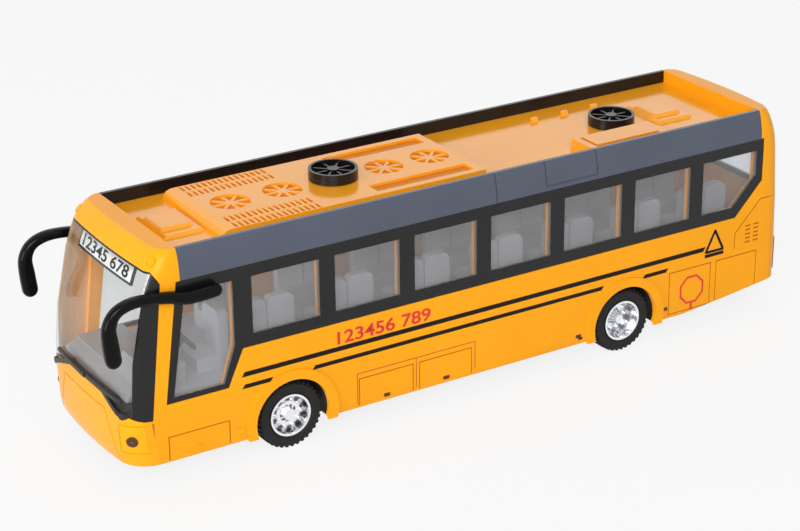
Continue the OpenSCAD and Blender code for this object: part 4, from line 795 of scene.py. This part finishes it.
OCTAGON_X, OCTAGON_Z, OCTAGON_R, OCTAGON_LINE = -114.5, 23.0, 7.7, 1.0
POST_HALF, POST_Z = 0.6, (12.4, 15.9)
TRIANGLE_X, TRIANGLE_Z, TRIANGLE_R, TRIANGLE_LINE = -127.5, 43.4, 8.3, 1.3
TRIANGLE_SQUEEZE, TRIANGLE_ROUND = 0.88, 1.6
BAR_HALF, BAR_Z = 5.7, (37.2, 38.9)
for side, word in SIDES:
    stop = [
        sign_outline(8, OCTAGON_R, OCTAGON_LINE, OCTAGON_X, OCTAGON_Z, side, math.pi / 8),
        side_bar(OCTAGON_X + POST_HALF, OCTAGON_X - POST_HALF, *POST_Z, side)]
    printed("stop_sign_" + word, stop, RED)
    apex = math.pi if side > 0 else 0.0
    crossing = [
        sign_outline(3, TRIANGLE_R, TRIANGLE_LINE, TRIANGLE_X, TRIANGLE_Z, side, apex,
                     TRIANGLE_SQUEEZE, TRIANGLE_ROUND),
        side_bar(TRIANGLE_X + BAR_HALF, TRIANGLE_X - BAR_HALF, *BAR_Z, side)]
    printed("crossing_sign_" + word, crossing, INK)

# %% [markdown]
# ## Numbers
# The sides and the board behind the windshield carry rows of plain counting numbers. Drawing digits by
# hand is slow, so a text object gives them. It becomes a mesh first, is stretched to the row's width and
# height, and only then is turned and laid on its place.

# %% Numbers on the sides
TEXT_SIZE = 10.0
TEXT_HALF_T = 0.04
BOLD = 0.18


def number_row(name, digits, width, height):
    bpy.ops.object.text_add(location=(0.0, 0.0, 0.0))
    row = bpy.context.object
    row.name = name
    row.data.body = digits
    row.data.align_x = "CENTER"
    row.data.align_y = "CENTER"
    row.data.size = TEXT_SIZE * MM
    row.data.offset = BOLD * MM
    row.data.extrude = TEXT_HALF_T * MM
    bpy.ops.object.convert(target="MESH")
    row = bpy.context.object
    low, high = box_mm(row)
    row.location = -(low + high) / 2 * MM
    freeze(row)
    row.scale = (width / (high.x - low.x), height / (high.y - low.y), 1.0)
    return freeze(row)


ROW_X, ROW_Z, ROW_W, ROW_H = 57.0, 47.1, 47.6, 6.2
for side, word in SIDES:
    row = number_row("side_number_" + word, "123456 789", ROW_W, ROW_H)
    row.rotation_euler = (math.pi / 2, 0.0, math.pi if side > 0 else 0.0)
    row.location = Vector((ROW_X + MIDDLE_X, side * (HALF_W + LIFT + PRINT_T / 2), ROW_Z)) * MM
    printed("side_number_" + word, [freeze(row)], RED)

# %% [markdown]
# ## Number board
# The board is a curved strip behind the top of the windshield, white with a black border. An inset of
# its front face leaves the border in black and takes white inside. Its numbers start flat before it and
# are projected on to its curve, because digits that are only moved would sink in at the ends.

# %% A white face in a black border
BORDER = 1.1
FRONT_ON = 0.4
board = moulded("sign_board", "number_board", INK, 30)
board.data.materials.append(CARD)
pick_faces(board, lambda face: face.normal.x > FRONT_ON)
bpy.ops.mesh.inset(thickness=BORDER * MM, depth=0.0)
board.active_material_index = 1
bpy.ops.object.material_slot_assign()
leave_edit()
board_low, board_high = box_mm(board)
print("board from", board_low, "to", board_high)

# %% Numbers laid on the board
BOARD_ROW_W, BOARD_ROW_H = 44.0, 5.2
STAND_OFF, INK_LIFT = 2.0, 0.16
row = number_row("board_number", "12345 678", BOARD_ROW_W, BOARD_ROW_H)
row.rotation_euler = (math.pi / 2, 0.0, math.pi / 2)
row.location = Vector((board_high.x + STAND_OFF, 0.0, (board_low.z + board_high.z) / 2)) * MM
freeze(row)
wrap = row.modifiers.new("lay_on_board", "SHRINKWRAP")
wrap.target = board
wrap.wrap_method = "PROJECT"
wrap.use_project_x = True
wrap.use_negative_direction = True
wrap.use_positive_direction = False
wrap.wrap_mode = "ABOVE_SURFACE"
wrap.offset = INK_LIFT * MM
apply_all(row)
printed("board_number", [row], INK)

# %% [markdown]
# ## Studio
# The object stands in a pale room without corners. More light would wash out the yellow, so the floor
# and the world are white only to the camera and to mirrors and glass, and light the object much less.
# The floor keeps a share of its own shading, and so a faint shadow.

# %% Floor
def background_rays(tree, share):
    path = tree.nodes.new("ShaderNodeLightPath")
    seen = path.outputs["Is Camera Ray"]
    for kind in ("Is Glossy Ray", "Is Transmission Ray"):
        either = calc(tree, "MAXIMUM", seen)
        tree.links.new(path.outputs[kind], either.inputs[1])
        seen = either.outputs["Value"]
    return calc(tree, "MULTIPLY", seen, share).outputs["Value"]


FLOOR_SIZE, FLOOR_GREY, FLOOR_WHITE_SHARE = 12.0, 0.78, 0.84
bpy.ops.mesh.primitive_plane_add(size=FLOOR_SIZE, location=(0.0, 0.0, 0.0))
floor = bpy.context.object
floor.name = "studio_floor"
white = bpy.data.materials.new("studio_white")
white.use_nodes = True
tree = white.node_tree
glow = tree.nodes.new("ShaderNodeEmission")
glow.inputs["Strength"].default_value = 1.0
base = tree.nodes["Principled BSDF"]
base.inputs["Base Color"].default_value = (FLOOR_GREY, FLOOR_GREY, FLOOR_GREY, 1.0)
base.inputs["Roughness"].default_value = 0.9
mix = tree.nodes.new("ShaderNodeMixShader")
tree.links.new(background_rays(tree, FLOOR_WHITE_SHARE), mix.inputs["Fac"])
tree.links.new(base.outputs["BSDF"], mix.inputs[1])
tree.links.new(glow.outputs["Emission"], mix.inputs[2])
tree.links.new(mix.outputs["Shader"], tree.nodes["Material Output"].inputs["Surface"])
floor.data.materials.append(white)
floor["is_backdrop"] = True
print("floor:", FLOOR_SIZE, "m")

# %% World
FILL = 0.3
world = bpy.data.worlds.new("studio_world")
bpy.context.scene.world = world
world.use_nodes = True
tree = world.node_tree
sky = tree.nodes["Background"]
sky.inputs["Color"].default_value = (1.0, 1.0, 1.0, 1.0)
sky.inputs["Strength"].default_value = FILL
pale = tree.nodes.new("ShaderNodeBackground")
pale.inputs["Color"].default_value = (1.0, 1.0, 1.0, 1.0)
mix = tree.nodes.new("ShaderNodeMixShader")
tree.links.new(background_rays(tree, 1.0), mix.inputs["Fac"])
tree.links.new(sky.outputs["Background"], mix.inputs[1])
tree.links.new(pale.outputs["Background"], mix.inputs[2])
tree.links.new(mix.outputs["Shader"], tree.nodes["World Output"].inputs["Surface"])
print("world fill:", FILL)

# %% [markdown]
# Four soft boxes do the lighting: a key beside the front corner, a low one before the nose, a weak one
# above, and a wide wall behind that lays a pale sheen on the roof. Large faces are chosen because they
# give plastic broad highlights with soft borders, where small lamps would leave hard dots.

# %% Soft boxes
def soft_light(name, place, aim, size, watts):
    data = bpy.data.lights.new(name, "AREA")
    data.energy = watts
    data.shape = "RECTANGLE"
    data.size, data.size_y = size
    lamp = bpy.data.objects.new(name, data)
    bpy.context.scene.collection.objects.link(lamp)
    lamp.location = place
    lamp.rotation_euler = (Vector(aim) - Vector(place)).to_track_quat("-Z", "Y").to_euler()
    print(name, watts, "W")


soft_light("key_light", (1.0, 1.6, 1.2), (0.02, 0.0, 0.05), (1.3, 0.9), 31.0)
soft_light("front_light", (1.9, 0.5, 0.36), (0.1, 0.0, 0.03), (0.9, 0.9), 21.0)
soft_light("top_light", (-0.1, 0.0, 1.9), (0.0, 0.0, 0.1), (1.4, 0.9), 4.5)
soft_light("back_wall", (-0.5, -2.2, 0.95), (0.0, 0.0, 0.1), (3.6, 1.5), 6.5)

# %% [markdown]
# ## Camera
# The camera stands where the photograph was taken. Its eye, its target, its slight roll and its focal
# length in pixels were fitted to straight edges of the coach. The axes are set as a matrix, because a
# tracking constraint would leave the roll out.

# %% Camera at the photograph's angle
EYE = Vector((0.483806, 0.763332, 0.437971))
TARGET = Vector((0.014468, 0.0, 0.053525))
ROLL = math.radians(-0.658309)
FOCAL_PIXELS, PHOTO_PIXELS, SENSOR = 2140.2036, 800.0, 36.0
lens = bpy.data.cameras.new("photo_camera")
lens.sensor_fit = "HORIZONTAL"
lens.sensor_width = SENSOR
lens.lens = FOCAL_PIXELS * SENSOR / PHOTO_PIXELS
camera = bpy.data.objects.new("photo_camera", lens)
bpy.context.scene.collection.objects.link(camera)
ahead = (TARGET - EYE).normalized()
level = ahead.cross(Vector((0.0, 0.0, 1.0))).normalized()
upright = level.cross(ahead)
right = math.cos(ROLL) * level + math.sin(ROLL) * upright
up = -math.sin(ROLL) * level + math.cos(ROLL) * upright
camera.matrix_world = Matrix((
    (right.x, up.x, -ahead.x, EYE.x),
    (right.y, up.y, -ahead.y, EYE.y),
    (right.z, up.z, -ahead.z, EYE.z),
    (0.0, 0.0, 0.0, 1.0)))
bpy.context.scene.camera = camera
bpy.context.scene.view_settings.view_transform = "Standard"
print("focal length:", lens.lens, "mm")

# %% Sizes of the CAD frame and the finished object
plain = lambda b: [[float(c) for c in v] for v in b]
{"cad": plain(first_bounds), "visual": plain(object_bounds())}
